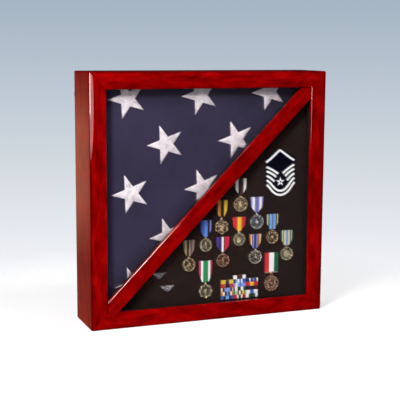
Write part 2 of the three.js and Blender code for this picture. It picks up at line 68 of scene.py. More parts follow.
MM = 0.001
HALF = CAD_BOX[1].z / 2
FRONT = CAD_BOX[0].y
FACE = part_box("stile_left")[1].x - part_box("stile_left")[0].x
FACE_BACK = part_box("stile_left")[1].y
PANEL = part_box("side_panel_left")[1].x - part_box("side_panel_left")[0].x
PANEL_FRONT, PANEL_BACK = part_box("side_panel_left")[0].y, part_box("side_panel_left")[1].y
GLASS_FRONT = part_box("glass_flag")[0].y
SIGHT = HALF - FACE
CENTRE = Vector((0, 0, HALF))

# Half of the diagonal bar's width, and the glass rabbet behind every front member.
BAR_HALF = 17.5 * MM
RABBET = 10 * MM
# The glass clears the lip of a front member by this much.
GLASS_GAP = 0.3 * MM
# The crowned outer edge, and the radii of the other edges and of the square's corners.
EDGE_ACROSS, EDGE_DEEP = 12 * MM, 4 * MM
SIGHT_ROUND = 3 * MM
CORNER_ROUND = 3 * MM
BACK_ROUND = 2 * MM
# Half of the hairline between two mitred members.
SEAM = 0.06 * MM


# ---- Mesh helpers ---------------------------------------------------------------------------------------

def link_new(name, data):
    """A new object in the scene, made of a mesh, a light or a camera."""
    made = bpy.data.objects.new(name, data)
    bpy.context.scene.collection.objects.link(made)
    return made


def mesh_piece(name, verts, faces, material, uvs=None, smooth=40.0, attribute=None):
    """A mesh object. `uvs` has one pair a vertex, and `attribute` one value a vertex, stored as "relief": a
    relief height, or on the lacquered members the share of painted edge shade.
    """
    mesh = bpy.data.meshes.new(name)
    mesh.from_pydata([tuple(v) for v in verts], [], [tuple(f) for f in faces])
    if uvs is not None:
        layer = mesh.uv_layers.new(name="run")
        for loop in mesh.loops:
            layer.data[loop.index].uv = uvs[loop.vertex_index]
    if attribute is not None:
        relief = mesh.attributes.new("relief", "FLOAT", "POINT")
        relief.data.foreach_set("value", np.asarray(attribute, np.float32))
    whole = bmesh.new()
    whole.from_mesh(mesh)
    bmesh.ops.recalc_face_normals(whole, faces=whole.faces)
    whole.to_mesh(mesh)
    whole.free()
    if smooth:
        mesh.shade_smooth()
        mesh.set_sharp_from_angle(angle=math.radians(smooth))
    mesh.materials.append(material)
    return link_new(name, mesh)


def place(piece, body, slot, *nodes):
    """Rides a finished piece on its body and hides the CAD nodes it stands for. `slot` is not used."""
    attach(piece, body)
    if nodes:
        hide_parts(*nodes)
    return piece


def paint(node, material):
    """Gives a CAD node that stays in view its material."""
    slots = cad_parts[node].data.materials
    slots.clear()
    slots.append(material)


def arc(centre, radii, start, end, steps):
    """Points on an arc of an ellipse, angles in degrees, both ends included."""
    angles = [math.radians(start + (end - start) * k / steps) for k in range(steps + 1)]
    return [(centre[0] + radii[0] * math.cos(a), centre[1] + radii[1] * math.sin(a)) for a in angles]


def ring_faces(rings, around, closed_rings=True):
    """Quads between rings of `around` vertices each."""
    faces = []
    for r in range(rings - 1):
        for k in range(around if closed_rings else around - 1):
            n = (k + 1) % around
            faces.append((r * around + k, r * around + n, (r + 1) * around + n, (r + 1) * around + k))
    return faces


def ring_point(k, around):
    """The angle of point k of `around` points on a full turn."""
    return 2 * math.pi * k / around


def fan_faces(rings, around, closed=False):
    """Faces of a dome: a middle vertex, rings round it and, if closed, one face over the last ring."""
    faces = [(0, 1 + k, 1 + (k + 1) % around) for k in range(around)]
    faces += [tuple(1 + v for v in face) for face in ring_faces(rings, around)]
    if closed:
        faces.append(tuple(1 + (rings - 1) * around + k for k in range(around)))
    return faces


def tube_faces(rings, around):
    """Faces of a tube of rings, with a face over each end."""
    last = (rings - 1) * around
    return ring_faces(rings, around) + [tuple(range(around)), tuple(range(last, last + around))]


# ---- Material helpers -----------------------------------------------------------------------------------

def new_material(name, **sockets):
    """A Principled material. Keywords are socket names with spaces as underscores."""
    material = bpy.data.materials.new(name)
    material.use_nodes = True
    bsdf = material.node_tree.nodes["Principled BSDF"]
    for key, value in sockets.items():
        socket = bsdf.inputs[key.replace("_", " ")]
        socket.default_value = (*value, 1) if isinstance(value, tuple) else value
    return material


def add(material, kind, inputs=None, **settings):
    """Adds a node. An input that is a socket is linked, and any other value is set."""
    tree = material.node_tree
    node = tree.nodes.new("ShaderNode" + kind)
    for key, value in settings.items():
        setattr(node, key, value)
    for key, value in (inputs or {}).items():
        if isinstance(value, bpy.types.NodeSocket):
            tree.links.new(value, node.inputs[key])
        else:
            node.inputs[key].default_value = value
    return node


def ramp(material, factor, stops, hard=False):
    """A colour ramp over (position, colour) stops."""
    node = add(material, "ValToRGB", {"Fac": factor})
    node.color_ramp.interpolation = "CONSTANT" if hard else "LINEAR"
    elements = node.color_ramp.elements
    while len(elements) < len(stops):
        elements.new(1.0)
    for element, (position, colour) in zip(elements, stops):
        element.position = position
        element.color = (*colour, 1)
    return node.outputs["Color"]


def grey(value):
    """A neutral colour."""
    return (value, value, value)


def connect(material, **links):
    """Links sockets to the Principled shader's inputs."""
    bsdf = material.node_tree.nodes["Principled BSDF"]
    for key, socket in links.items():
        material.node_tree.links.new(socket, bsdf.inputs[key.replace("_", " ")])


def bump(material, height, distance, strength):
    """Fine relief from a height, as a normal."""
    inputs = {"Height": height, "Distance": distance, "Strength": strength}
    return add(material, "Bump", inputs).outputs["Normal"]


def grained(material, tone, stops, height, distance, strength):
    """Gives a material the colours of a tone and the relief of a height, and returns it."""
    colours = ramp(material, tone, stops)
    connect(material, Base_Color=colours, Normal=bump(material, height, distance, strength))
    return material


def mapped(material, source, scale):
    """Texture coordinates stretched by `scale`. `source` is "run" for the pieces' own UVs, or "object"."""
    if source == "run":
        vector = add(material, "UVMap", uv_map="run").outputs["UV"]
    else:
        vector = add(material, "TexCoord").outputs["Object"]
    return add(material, "Mapping", {"Vector": vector, "Scale": scale}).outputs["Vector"]


def noise_of(material, scale, detail=4.0, distortion=0.0, roughness=0.5, source="object"):
    """Noise over the piece. `scale` is one number, or one for each axis."""
    scales = scale if isinstance(scale, tuple) else (scale, scale, scale)
    inputs = {
        "Vector": mapped(material, source, scales), "Scale": 1.0,
        "Detail": detail, "Distortion": distortion, "Roughness": roughness,
    }
    return add(material, "TexNoise", inputs).outputs["Fac"]


def combine(material, operation, first, second):
    """One step of arithmetic between two values."""
    return add(material, "Math", {0: first, 1: second}, operation=operation).outputs["Value"]


def weighted(material, first, first_share, second, second_share):
    """The sum of two values, each times its share."""
    return combine(material, "ADD", combine(material, "MULTIPLY", first, first_share),
                   combine(material, "MULTIPLY", second, second_share))


def darkened(material, factor, share, colours, towards=(0.0, 0.0, 0.0)):
    """Colours pulled towards a dark one, by `share` of a factor."""
    return blend_colours(material, combine(material, "MULTIPLY", factor, share), colours, towards)


def blend_colours(material, factor, first, second):
    """A mix of two colours."""
    node = add(material, "Mix", data_type="RGBA", blend_type="MIX")
    tree = material.node_tree
    for socket, value in ((node.inputs[0], factor), (node.inputs[6], first), (node.inputs[7], second)):
        if isinstance(value, bpy.types.NodeSocket):
            tree.links.new(value, socket)
        else:
            socket.default_value = (*value, 1) if isinstance(value, tuple) else value
    return node.outputs[2]


# ---- Materials ------------------------------------------------------------------------------------------

def cherry_lacquer(name, source, along, across):
    """Red cherry under gloss lacquer: streaked grain, cloudy figure and painted shade along the outer edges
    below a smooth coat.
    """
    material = new_material(
        name, Roughness=0.5, Specular_IOR_Level=0.0, Coat_Weight=1.0, Coat_Roughness=0.03, Coat_IOR=1.5,
    )
    figure = noise_of(material, along, 5.0, 0.4, 0.6, source)
    streaks = noise_of(material, across, 6.0, 0.3, 0.65, source)
    depth = weighted(material, figure, 0.68, streaks, 0.32)
    reds = ramp(material, depth, [
        (0.34, (0.085, 0.0000, 0.0001)),
        (0.46, (0.175, 0.0002, 0.0004)),
        (0.55, (0.260, 0.0006, 0.0009)),
        (0.68, (0.400, 0.0020, 0.0020)),
    ])
    # The attribute read here is painted shade: it darkens the colour along each member's outer rounded edge.
    edge_shade_share = add(material, "Attribute", attribute_name="relief").outputs["Fac"]
    shaded = darkened(material, edge_shade_share, 0.72, reds, (0.02, 0.0, 0.0))
    connect(material, Base_Color=shaded, Normal=bump(material, streaks, 0.00012, 0.35))
    return material


def bare_wood(name, light, dark):
    """Unlacquered wood with fine straight grain."""
    material = new_material(name, Roughness=0.7, Specular_IOR_Level=0.2)
    grain = noise_of(material, (9, 9, 260), 6.0, 0.4)
    return grained(material, grain, [(0.32, dark), (0.68, light)], grain, 0.0003, 0.5)


def fibreboard():
    """Back door: dark stained board with a fine pressed grain."""
    material = new_material("back_board", Roughness=0.7, Specular_IOR_Level=0.3)
    speck = noise_of(material, 420, 3.0)
    cloud = noise_of(material, (5, 5, 3), 4.0)
    tone = weighted(material, speck, 0.45, cloud, 0.55)
    stops = [(0.35, (0.030, 0.014, 0.010)), (0.65, (0.062, 0.029, 0.019))]
    return grained(material, tone, stops, speck, 0.00025, 0.6)


def felt():
    """Nearly black felt: short matted fibres and slightly uneven nap."""
    material = new_material(
        "black_felt", Roughness=1.0, Specular_IOR_Level=0.05, Sheen_Weight=0.12, Sheen_Roughness=0.5,
    )
    fibres = noise_of(material, 1500, 3.0, 1.5)
    nap = noise_of(material, 26, 4.0)
    tone = weighted(material, fibres, 0.5, nap, 0.5)
    stops = [(0.3, (0.0075, 0.0030, 0.0024)), (0.7, (0.0170, 0.0070, 0.0056))]
    return grained(material, tone, stops, fibres, 0.0006, 0.8)


def weave_height(material, vector, threads):
    """Plain weave: two sets of threads, `threads` of each a metre."""
    scale = (threads, threads, threads)
    scaled = add(material, "Mapping", {"Vector": vector, "Scale": scale}).outputs["Vector"]
    warp = add(material, "TexWave", {"Vector": scaled, "Scale": 0.5}, bands_direction="X").outputs["Fac"]
    weft = add(material, "TexWave", {"Vector": scaled, "Scale": 0.5}, bands_direction="Z").outputs["Fac"]
    return combine(material, "MAXIMUM", warp, weft)


def navy_cotton():
    """Flag cloth: woven cotton with softly uneven dye."""
    material = new_material(
        "flag_cotton", Roughness=0.92, Specular_IOR_Level=0.15, Sheen_Weight=0.15, Sheen_Roughness=0.4,
    )
    vector = add(material, "TexCoord").outputs["Object"]
    weave = weave_height(material, vector, 1500)
    dye = noise_of(material, 7, 5.0)
    slub = noise_of(material, (900, 900, 60), 2.0)
    tone = weighted(material, dye, 0.7, slub, 0.3)
    stops = [(0.34, (0.0190, 0.0160, 0.0400)), (0.66, (0.0330, 0.0275, 0.0640))]
    return grained(material, tone, stops, weave, 0.00018, 0.5)


def white_thread():
    """Sewn stars: white satin stitch, its threads lying in short uneven rows."""
    material = new_material(
        "star_thread", Roughness=0.7, Specular_IOR_Level=0.25, Sheen_Weight=0.3, Sheen_Roughness=0.35,
    )
    threads = noise_of(material, (260, 260, 1900), 3.0, 0.6)
    mottle = noise_of(material, 75, 4.0, 0.8)
    tone = weighted(material, threads, 0.4, mottle, 0.6)
    return grained(material, tone, [
        (0.34, (0.46, 0.40, 0.45)),
        (0.50, (0.73, 0.66, 0.71)),
        (0.66, (0.88, 0.83, 0.86)),
    ], tone, 0.0014, 0.8)


def striped_ribbon(name, stripes):
    """Corded ribbon. `stripes` are (share of the width, colour) from left to right."""
    material = new_material(
        name, Roughness=0.6, Specular_IOR_Level=0.3, Sheen_Weight=0.25, Sheen_Roughness=0.3,
    )
    run = add(material, "UVMap", uv_map="run").outputs["UV"]
    across = add(material, "SeparateXYZ", {"Vector": run}).outputs["X"]
    total = sum(share for share, _ in stripes)
    stops, edge = [], 0.0
    for share, colour in stripes:
        stops.append((edge / total, colour))
        edge += share
    colours = ramp(material, across, stops, hard=True)
    cords = add(
        material, "TexWave",
        {"Vector": run, "Scale": 12.0, "Distortion": 0.3, "Detail": 1.0},
        bands_direction="Y",
    ).outputs["Fac"]
    # Painted shade: small random dark blotches stand in for the shade of the cloth's slight folds.
    painted_fold_shade = noise_of(material, 300, 3.0)
    shaded = darkened(material, painted_fold_shade, 0.14, colours)
    connect(material, Base_Color=shaded, Normal=bump(material, cords, 0.00025, 0.6))
    return material


def struck_metal(name, high, low, roughness):
    """A struck and antiqued metal: bright on the raised relief and dark in the hollows as its patina, with
    random patches of painted highlight and shade.
    """
    material = new_material(name, Metallic=0.75)
    relief = add(material, "Attribute", attribute_name="relief").outputs["Fac"]
    # The mottle's bright and dark patches in the colour are painted highlights and shade, standing in for
    # glints on the relief; the relief share is patina.
    mottle = noise_of(material, 300, 1.0, 0.8)
    patina_and_painted_glints = weighted(material, relief, 0.42, mottle, 1.05)
    middle = tuple((h + 3 * c) / 4 for h, c in zip(high, low))
    connect(
        material,
        Base_Color=ramp(material, patina_and_painted_glints, [(0.42, low), (0.60, middle), (0.80, high)]),
        Roughness=ramp(material, mottle, [(0.3, grey(roughness * 0.8)), (0.7, grey(roughness * 1.35))]),
        Normal=bump(material, mottle, 0.0014, 0.8),
    )
    return material


def plated(name, colour, roughness, scratch=(90, 90, 2600)):
    """Sheet metal with the fine lines of its brushing."""
    material = new_material(name, Metallic=1.0)
    lines = noise_of(material, scratch, 3.0)
    dull = tuple(c * 0.72 for c in colour)
    connect(
        material,
        Base_Color=ramp(material, lines, [(0.3, dull), (0.7, colour)]),
        Roughness=ramp(material, lines, [(0.3, grey(roughness * 1.3)), (0.7, grey(roughness * 0.8))]),
        Normal=bump(material, lines, 0.00004, 0.5),
    )
    return material


def moulded(name, colour, roughness, grain, gloss=0.5):
    """A moulded or matted surface: one colour with a fine, uneven grain."""
    material = new_material(name, Roughness=roughness, Specular_IOR_Level=gloss)
    texture = noise_of(material, (grain, grain, grain), 3.0)
    dull = tuple(c * 0.8 for c in colour)
    return grained(material, texture, [(0.35, dull), (0.65, colour)], texture, 0.0001, 0.5)


def clear_glass():
    """Picture glass, faintly smeared in its gloss."""
    material = new_material("glass", Alpha=0.1, Transmission_Weight=1.0, IOR=1.45)
    smear = noise_of(material, 14, 3.0)
    connect(
        material,
        Base_Color=ramp(material, smear, [(0.0, (0.95, 0.98, 0.97)), (1.0, (1.0, 1.0, 1.0))]),
        Roughness=ramp(material, smear, [(0.2, grey(0.0)), (0.9, grey(0.03))]),
    )
    return material


def embroidery(name, colour, dark):
    """Raised satin stitch: fine parallel threads across each line of stitching."""
    material = new_material(name, Roughness=0.65, Sheen_Weight=0.3, Sheen_Roughness=0.35)
    run = add(material, "UVMap", uv_map="run").outputs["UV"]
    threads = add(
        material, "TexWave",
        {"Vector": run, "Scale": 10.0, "Distortion": 0.6, "Detail": 2.0},
        bands_direction="X",
    ).outputs["Fac"]
    return grained(material, threads, [(0.0, dark), (0.6, colour)], threads, 0.0002, 0.6)


LACQUER_RUN = cherry_lacquer("cherry_lacquer", "run", (17, 48, 1), (30, 800, 1))
WOOD = bare_wood("bare_wood", (0.34, 0.19, 0.095), (0.20, 0.105, 0.05))
STAINED = bare_wood("stained_wood", (0.060, 0.030, 0.020), (0.026, 0.012, 0.008))
LINER = bare_wood("black_liner", (0.0050, 0.0028, 0.0024), (0.0026, 0.0016, 0.0014))
BOARD = fibreboard()
FELT = felt()
NAVY = navy_cotton()
STAR = white_thread()
GLASS = clear_glass()
BRASS = plated("brass", (0.62, 0.42, 0.16), 0.3)
STEEL = plated("steel", (0.60, 0.61, 0.62), 0.32)
BRONZE = struck_metal("bronze", (1.0, 0.80, 0.50), (0.050, 0.030, 0.016), 0.22)
COPPER = struck_metal("bronze_red", (0.84, 0.52, 0.36), (0.026, 0.012, 0.008), 0.25)
PEWTER = struck_metal("bronze_grey", (0.92, 0.86, 0.74), (0.050, 0.044, 0.036), 0.24)
GILT = struck_metal("gold_metal", (1.0, 0.92, 0.66), (0.080, 0.052, 0.022), 0.20)
SILVER = struck_metal("silver_metal", (0.96, 0.97, 1.0), (0.050, 0.054, 0.090), 0.20)
PLASTIC = moulded("catch_plastic", (0.78, 0.75, 0.68), 0.45, 700)
RUBBER = moulded("bumper_rubber", (0.016, 0.016, 0.018), 0.8, 1200)


# ---- Lacquered members ----------------------------------------------------------------------------------

def member_profile():
    """Section of a front member as (inward, y): crowned outer edge, rounded sight edge, glass rabbet."""
    outer = arc((EDGE_ACROSS, FRONT + EDGE_DEEP), (EDGE_ACROSS, EDGE_DEEP), 180, 270, 18)
    sight = arc((FACE - SIGHT_ROUND, FRONT + SIGHT_ROUND), (SIGHT_ROUND, SIGHT_ROUND), 270, 360, 8)
    lip = GLASS_FRONT - GLASS_GAP
    step = [(FACE, lip), (FACE - RABBET, lip), (FACE - RABBET, FACE_BACK), (0.0, FACE_BACK)]
    return outer + sight + step


def panel_profile():
    """Section of a box panel: square at the front, rounded at the back."""
    back = arc((BACK_ROUND, PANEL_BACK - BACK_ROUND), (BACK_ROUND, BACK_ROUND), 90, 180, 6)
    return [(0.0, PANEL_FRONT), (PANEL, PANEL_FRONT), (PANEL, PANEL_BACK)] + back


def painted_edge_shade(inward, y):
    """How much painted shade a point of a section gets: darkest on the outer rounded corner, standing in for
    the dark line a lacquered edge shows.
    """
    corner = math.hypot(inward / (3.2 * MM), (y - FRONT) / (5 * MM))
    return max(0.0, 1 - corner / 1.5)


def mitred_member(name, profile, quarter, slot, node):
    """One side of the square, swept between two mitres, with its share of the rounded corners."""
    steps = 6
    stations = []
    for sign in (-1, 1):
        order = range(steps + 1) if sign < 0 else range(steps, -1, -1)
        for k in order:
            stations.append((sign, 45.0 * (1 - k / steps), k / steps))
    verts, uvs, dark, run = [], [], [], [0.0]
    for (a, b), (c, d) in zip(profile, profile[1:] + profile[:1]):
        run.append(run[-1] + math.hypot(c - a, d - b))
    for sign, angle, share in stations:
        turn = math.radians(angle)
        for k, (inward, y) in enumerate(profile):
            radius = CORNER_ROUND - inward
            if radius > 0:
                along = HALF - CORNER_ROUND + radius * math.sin(turn)
                depth = CORNER_ROUND - radius * math.cos(turn)
            else:
                along = HALF - inward - 0.5 * CORNER_ROUND * share
                depth = inward
            verts.append((sign * (along - SEAM), y, -HALF + depth))
            uvs.append((sign * along + 0.83 * quarter, run[k] + 0.31 * quarter))
            # Painted shade along the outer rounded edge, kept in the mesh for the lacquer's colour.
            dark.append(painted_edge_shade(inward, y))
    around = len(profile)
    faces = tube_faces(len(stations), around)
    turn = Matrix.Translation(CENTRE) @ Matrix.Rotation(quarter * math.pi / 2, 4, "Y")
    verts = [turn @ Vector(v) for v in verts]
    return place(mesh_piece(name, verts, faces, LACQUER_RUN, uvs, 30, dark), "case", slot, node)


def diagonal_bar():
    """The bar across the window, pointed at both ends to fill the corners of the frame."""
    lip = GLASS_FRONT - GLASS_GAP
    stem = BAR_HALF - RABBET
    left = arc((-BAR_HALF + SIGHT_ROUND, FRONT + SIGHT_ROUND), (SIGHT_ROUND, SIGHT_ROUND), 180, 270, 8)
    right = arc((BAR_HALF - SIGHT_ROUND, FRONT + SIGHT_ROUND), (SIGHT_ROUND, SIGHT_ROUND), 270, 360, 8)
    profile = left + [(0.0, FRONT)] + right
    profile += [(BAR_HALF, lip), (stem, lip), (stem, FACE_BACK), (0.0, FACE_BACK)]
    profile += [(-stem, FACE_BACK), (-stem, lip), (-BAR_HALF, lip)]
    around = len(profile)
    middle = [k for k, (p, _) in enumerate(profile) if p == 0.0]
    reach = (SIGHT - 0.3 * MM) * math.sqrt(2)
    cuts = [-1.0, -0.6, -0.2, 0.2, 0.6, 1.0]
    verts, uvs = [], []
    for share in cuts:
        for p, y in profile:
            along = share * (reach - abs(p))
            verts.append((along, y, p))
            uvs.append((along + 4.1, p + 1.7))
    faces = ring_faces(len(cuts), around)
    for end in (0, (len(cuts) - 1) * around):
        faces.append(tuple(end + k for k in range(middle[0], middle[1] + 1)))
        faces.append(tuple(end + k % around for k in range(middle[1], middle[0] + around + 1)))
    turn = Matrix.Translation(CENTRE) @ Matrix.Rotation(-math.pi / 4, 4, "Y")
    verts = [turn @ Vector(v) for v in verts]
    bar = mesh_piece("front_bar", verts, faces, LACQUER_RUN, uvs, 30)
    return place(bar, "case", "cherry_lacquer", "diagonal_bar")


SIDES = ("bottom", "left", "top", "right")
FRAME_NODES = ("rail_bottom", "stile_left", "rail_top", "stile_right")
PANEL_NODES = ("bottom_panel", "side_panel_left", "top_panel", "side_panel_right")
for number, side in enumerate(SIDES):
    mitred_member(f"front_{side}", member_profile(), number, "cherry_lacquer", FRAME_NODES[number])
    mitred_member(f"box_{side}", panel_profile(), number, "cherry_lacquer", PANEL_NODES[number])
diagonal_bar()

paint("divider_board", WOOD)
for node in ("glass_stop_left", "glass_stop_top", "glass_stop_diagonal"):
    paint(node, STAINED)
for node in ("liner_right", "liner_bottom", "liner_diagonal"):
    paint(node, LINER)
for node in ("glass_flag", "glass_medals"):
    paint(node, GLASS)
paint("medal_board", FELT)


# ---- Folded flag ----------------------------------------------------------------------------------------

FLAG_LO, FLAG_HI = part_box("folded_flag")
FLAG_LEG = FLAG_HI.x - FLAG_LO.x
# How far the front rounds over at the left, top and long edges.
FLAG_FOLDS = (13 * MM, 13 * MM, 7 * MM)
# How far the front starts behind its space: the cloth run presses it forward again.
FLAG_SLACK = 5.2 * MM
LAYERS = 9
CORNER = Vector((FLAG_LO.x, 0, FLAG_HI.z))


def flag_edges(x, z):
    """Distances inside the left, top and long edges of the folded triangle."""
    left = x - CORNER.x
    top = CORNER.z - z
    long_edge = (FLAG_LEG - left - top) / math.sqrt(2)
    return left, top, long_edge


def flag_front(x, z):
    """Depth of the flag's front sheet behind its foremost plane, at a point inside the outline."""
    drop = 0.0
    edges = flag_edges(x, z)
    for distance, fold in zip(edges, FLAG_FOLDS):
        inside = max(0.0, fold - max(distance, 0.0))
        drop += fold - math.sqrt(max(fold ** 2 - inside ** 2, 0.0))
    spot = Vector((x * 6.0, 3.1, z * 6.0))
    wave = 0.9 * MM * noise.noise(spot) + 0.35 * MM * noise.noise(spot * 3.1)
    wrinkle = 0.5 * MM * math.exp(-edges[2] / 0.03) * math.sin(70 * (x + z) + 5 * noise.noise(spot * 1.4))
    return drop + FLAG_SLACK + wave + wrinkle


def flag_body():
    """The folded bundle: a front and a back sheet, and between them the edges of the stacked folds."""
    rows = 64
    front, index = [], {}
    step = FLAG_LEG / rows
    for j in range(rows + 1):
        for i in range(rows + 1 - j):
            x, z = CORNER.x + i * step, CORNER.z - j * step
            index[i, j] = len(front)
            front.append((x, FLAG_LO.y + flag_front(x, z), z))
    count = len(front)
    back = [(x, FLAG_HI.y - (y - FLAG_LO.y), z) for x, y, z in front]
    verts = front + back
    faces = []
    for j in range(rows):
        for i in range(rows - j):
            a, b, c = index[i, j], index[i + 1, j], index[i, j + 1]
            faces += [(a, b, c), (a + count, c + count, b + count)]
            if i + j < rows - 1:
                d = index[i + 1, j + 1]
                faces += [(b, d, c), (b + count, c + count, d + count)]
    rim = [index[0, j] for j in range(rows + 1)]
    rim += [index[i, rows - i] for i in range(1, rows + 1)]
    rim += [index[i, 0] for i in range(rows - 1, 0, -1)]
    centre = Vector((CORNER.x + FLAG_LEG * 0.3, 0, CORNER.z - FLAG_LEG * 0.3))
    slices = LAYERS * 4
    rings = [rim]
    start_depth = {k: verts[k][1] for k in rim}
    for s in range(1, slices):
        share = s / slices
        groove = 2.6 * MM * (1 - abs(math.sin(math.pi * LAYERS * share))) ** 2
        ring = []
        for k in rim:
            x, _, z = verts[k]
            near, far = start_depth[k], FLAG_HI.y - (start_depth[k] - FLAG_LO.y)
            pull = (centre - Vector((x, 0, z))).normalized() * groove
            ripple = 0.8 * MM * noise.noise(Vector((x * 9, share * 14, z * 9)))
            ring.append(len(verts))
            y = near + (far - near) * share + ripple * math.sin(math.pi * share)
            verts.append((x + pull.x, y, z + pull.z))
        rings.append(ring)
    rings.append([k + count for k in rim])
    for near_ring, far_ring in zip(rings, rings[1:]):
        for k in range(len(rim)):
            n = (k + 1) % len(rim)
            faces.append((near_ring[k], near_ring[n], far_ring[n], far_ring[k]))
    body = mesh_piece("flag_bundle", verts, faces, NAVY, smooth=70)
    return place(body, "case", "flag_cotton", "folded_flag")


SETTLE_FRAMES = 14
# The most that the cloth run may move a point, and the gap it keeps to the sides of the flag's space.
SETTLE_REACH = 5.5 * MM
SETTLE_GAP = 0.4 * MM


def settle(body):
    """Lets the folded cloth relax under a little inner pressure, then gives its surface as a search tree."""
    start = np.array([v.co[:] for v in body.data.vertices])
    cloth = body.modifiers.new("cloth", "CLOTH")
    cloth.settings.quality = 4
    cloth.settings.mass = 0.2
    cloth.settings.tension_stiffness = 18
    cloth.settings.compression_stiffness = 18
    cloth.settings.bending_stiffness = 2.5
    cloth.settings.use_pressure = True
    cloth.settings.uniform_pressure_force = 0.26
    cloth.settings.effector_weights.gravity = 0
    cloth.collision_settings.use_collision = False
    scene = bpy.context.scene
    for step in range(1, SETTLE_FRAMES + 1):
        scene.frame_set(step)
    shaped = body.evaluated_get(bpy.context.evaluated_depsgraph_get()).to_mesh()
    moved = np.array([v.co[:] for v in shaped.vertices]) - start
    body.evaluated_get(bpy.context.evaluated_depsgraph_get()).to_mesh_clear()
    body.modifiers.remove(cloth)
    scene.frame_set(1)
    far = np.linalg.norm(moved, axis=1, keepdims=True)
    final = start + moved * np.minimum(1.0, SETTLE_REACH / np.maximum(far, 1e-9))
    final = np.clip(final, np.array(FLAG_LO) + SETTLE_GAP, np.array(FLAG_HI) - SETTLE_GAP)
    over = final[:, 0] - CORNER.x + CORNER.z - final[:, 2] - (FLAG_LEG - 0.6 * MM)
    final[:, 0] -= np.maximum(over, 0) / 2
    final[:, 2] += np.maximum(over, 0) / 2
    body.data.vertices.foreach_set("co", final.astype(np.float32).ravel())
    body.data.update()
    points = [v.co for v in body.data.vertices]
    return BVHTree.FromPolygons(points, [p.vertices for p in body.data.polygons])


def star_outline(angle):
    """Distance from the centre to the edge of a five-pointed star of radius 1, one point at angle 0."""
    sector = 2 * math.pi / 5
    turned = abs((angle + sector / 2) % sector - sector / 2)
    inner = 0.382
    tip, notch = Vector((1.0, 0.0)), Vector((inner * math.cos(sector / 2), inner * math.sin(sector / 2)))
    ray = Vector((math.cos(turned), math.sin(turned)))
    edge = notch - tip
    return (tip.x * edge.y - tip.y * edge.x) / (ray.x * edge.y - ray.y * edge.x)


# The stars' radius, the steps between them along a row and from row to row, and one star's middle.
STAR_RADIUS = 45.7 * MM
STAR_ACROSS = Vector((172.0, 0, 5.7)) * MM
STAR_UP = Vector((-3.4, 0, 105.5)) * MM
STAR_FIRST = Vector((-104.0, 0, 409.2)) * MM
STAR_TURN = math.radians(182.0)
STAR_RAISE = 0.9 * MM


def sewn_star(number, centre, sheet):
    """One sewn star: a padded, stitched shape that lies on the flag's front sheet and follows its edges."""
    rings, around = 12, 60
    keep, verts = {}, []
    for r in range(rings + 1):
        for k in range(around if r else 1):
            angle = ring_point(k, around)
            share = r / rings
            radius = STAR_RADIUS * share * (0.42 + (star_outline(angle) - 0.42) * share ** 1.4)
            x = centre.x + radius * math.cos(angle + STAR_TURN)
            z = centre.z + radius * math.sin(angle + STAR_TURN)
            struck = sheet.ray_cast(Vector((x, FRONT, z)), Vector((0, 1, 0)))[0]
            if min(flag_edges(x, z)) < 2 * MM or struck is None:
                continue
            crown = STAR_RAISE * (1 - share ** 6) + 0.25 * MM
            pucker = 0.35 * MM * noise.noise(Vector((x * 70, number, z * 70)))
            keep[r, k] = len(verts)
            verts.append((x, struck.y - crown - pucker * (1 - share), z))
    faces = []
    for k in range(around):
        n = (k + 1) % around
        centre_fan = [(0, 0), (1, k), (1, n)]
        if all(c in keep for c in centre_fan):
            faces.append([keep[c] for c in centre_fan])
        for r in range(1, rings):
            quad = [(r, k), (r + 1, k), (r + 1, n), (r, n)]
            if all(c in keep for c in quad):
                faces.append([keep[c] for c in quad])
    if len(faces) < 6:
        return None
    used = sorted({v for face in faces for v in face})
    renumber = {v: k for k, v in enumerate(used)}
    verts = [verts[v] for v in used]
    faces = [[renumber[v] for v in face] for face in faces]
    piece = mesh_piece(f"flag_star_{number}", verts, faces, STAR, smooth=60)
    if piece.data.polygons[0].normal.y > 0:
        piece.data.flip_normals()
    solid = piece.modifiers.new("thickness", "SOLIDIFY")
    solid.thickness = 0.7 * MM
    solid.offset = -1.0
    return place(piece, "case", "flag_cotton", "folded_flag")


flag_sheet = settle(flag_body())
star_number = 0
for row in range(-4, 3):
    for column in range(-3, 4):
        spot = STAR_FIRST + STAR_ACROSS * (column + 0.5 * (row % 2)) + STAR_UP * row
        left, top, long_edge = flag_edges(spot.x, spot.z)
        if left > 0 and min(top, long_edge) > -0.4 * STAR_RADIUS:
            star_number += 1
            sewn_star(star_number, spot, flag_sheet)


# ---- Medals ---------------------------------------------------------------------------------------------

WHITE = (0.92, 0.91, 0.90)
CREAM = (0.70, 0.62, 0.40)
BLACK = (0.010, 0.008, 0.008)
RED = (0.60, 0.012, 0.022)
NAVY_BLUE = (0.012, 0.018, 0.13)
BLUE = (0.035, 0.11, 0.48)
SKY = (0.20, 0.42, 0.80)
LAVENDER = (0.27, 0.26, 0.66)
GREEN = (0.012, 0.26, 0.085)
DARK_GREEN = (0.020, 0.075, 0.030)
YELLOW = (0.82, 0.55, 0.03)
ORANGE = (0.70, 0.26, 0.03)
MAROON = (0.075, 0.008, 0.014)
BROWN = (0.11, 0.055, 0.035)
TAN = (0.42, 0.30, 0.16)
MAUVE = (0.23, 0.14, 0.15)
GOLD = (0.78, 0.46, 0.03)
VIOLET = (0.075, 0.030, 0.26)
CRIMSON = (0.62, 0.012, 0.055)
DUSK = (0.13, 0.13, 0.36)
AZURE = (0.10, 0.24, 0.72)
MOSS = (0.10, 0.22, 0.055)
DEEP_GREEN = (0.010, 0.12, 0.055)


def mirrored(half, middle):
    """Stripes that run to a middle one and back in the same order."""
    return half + [middle] + half[::-1]


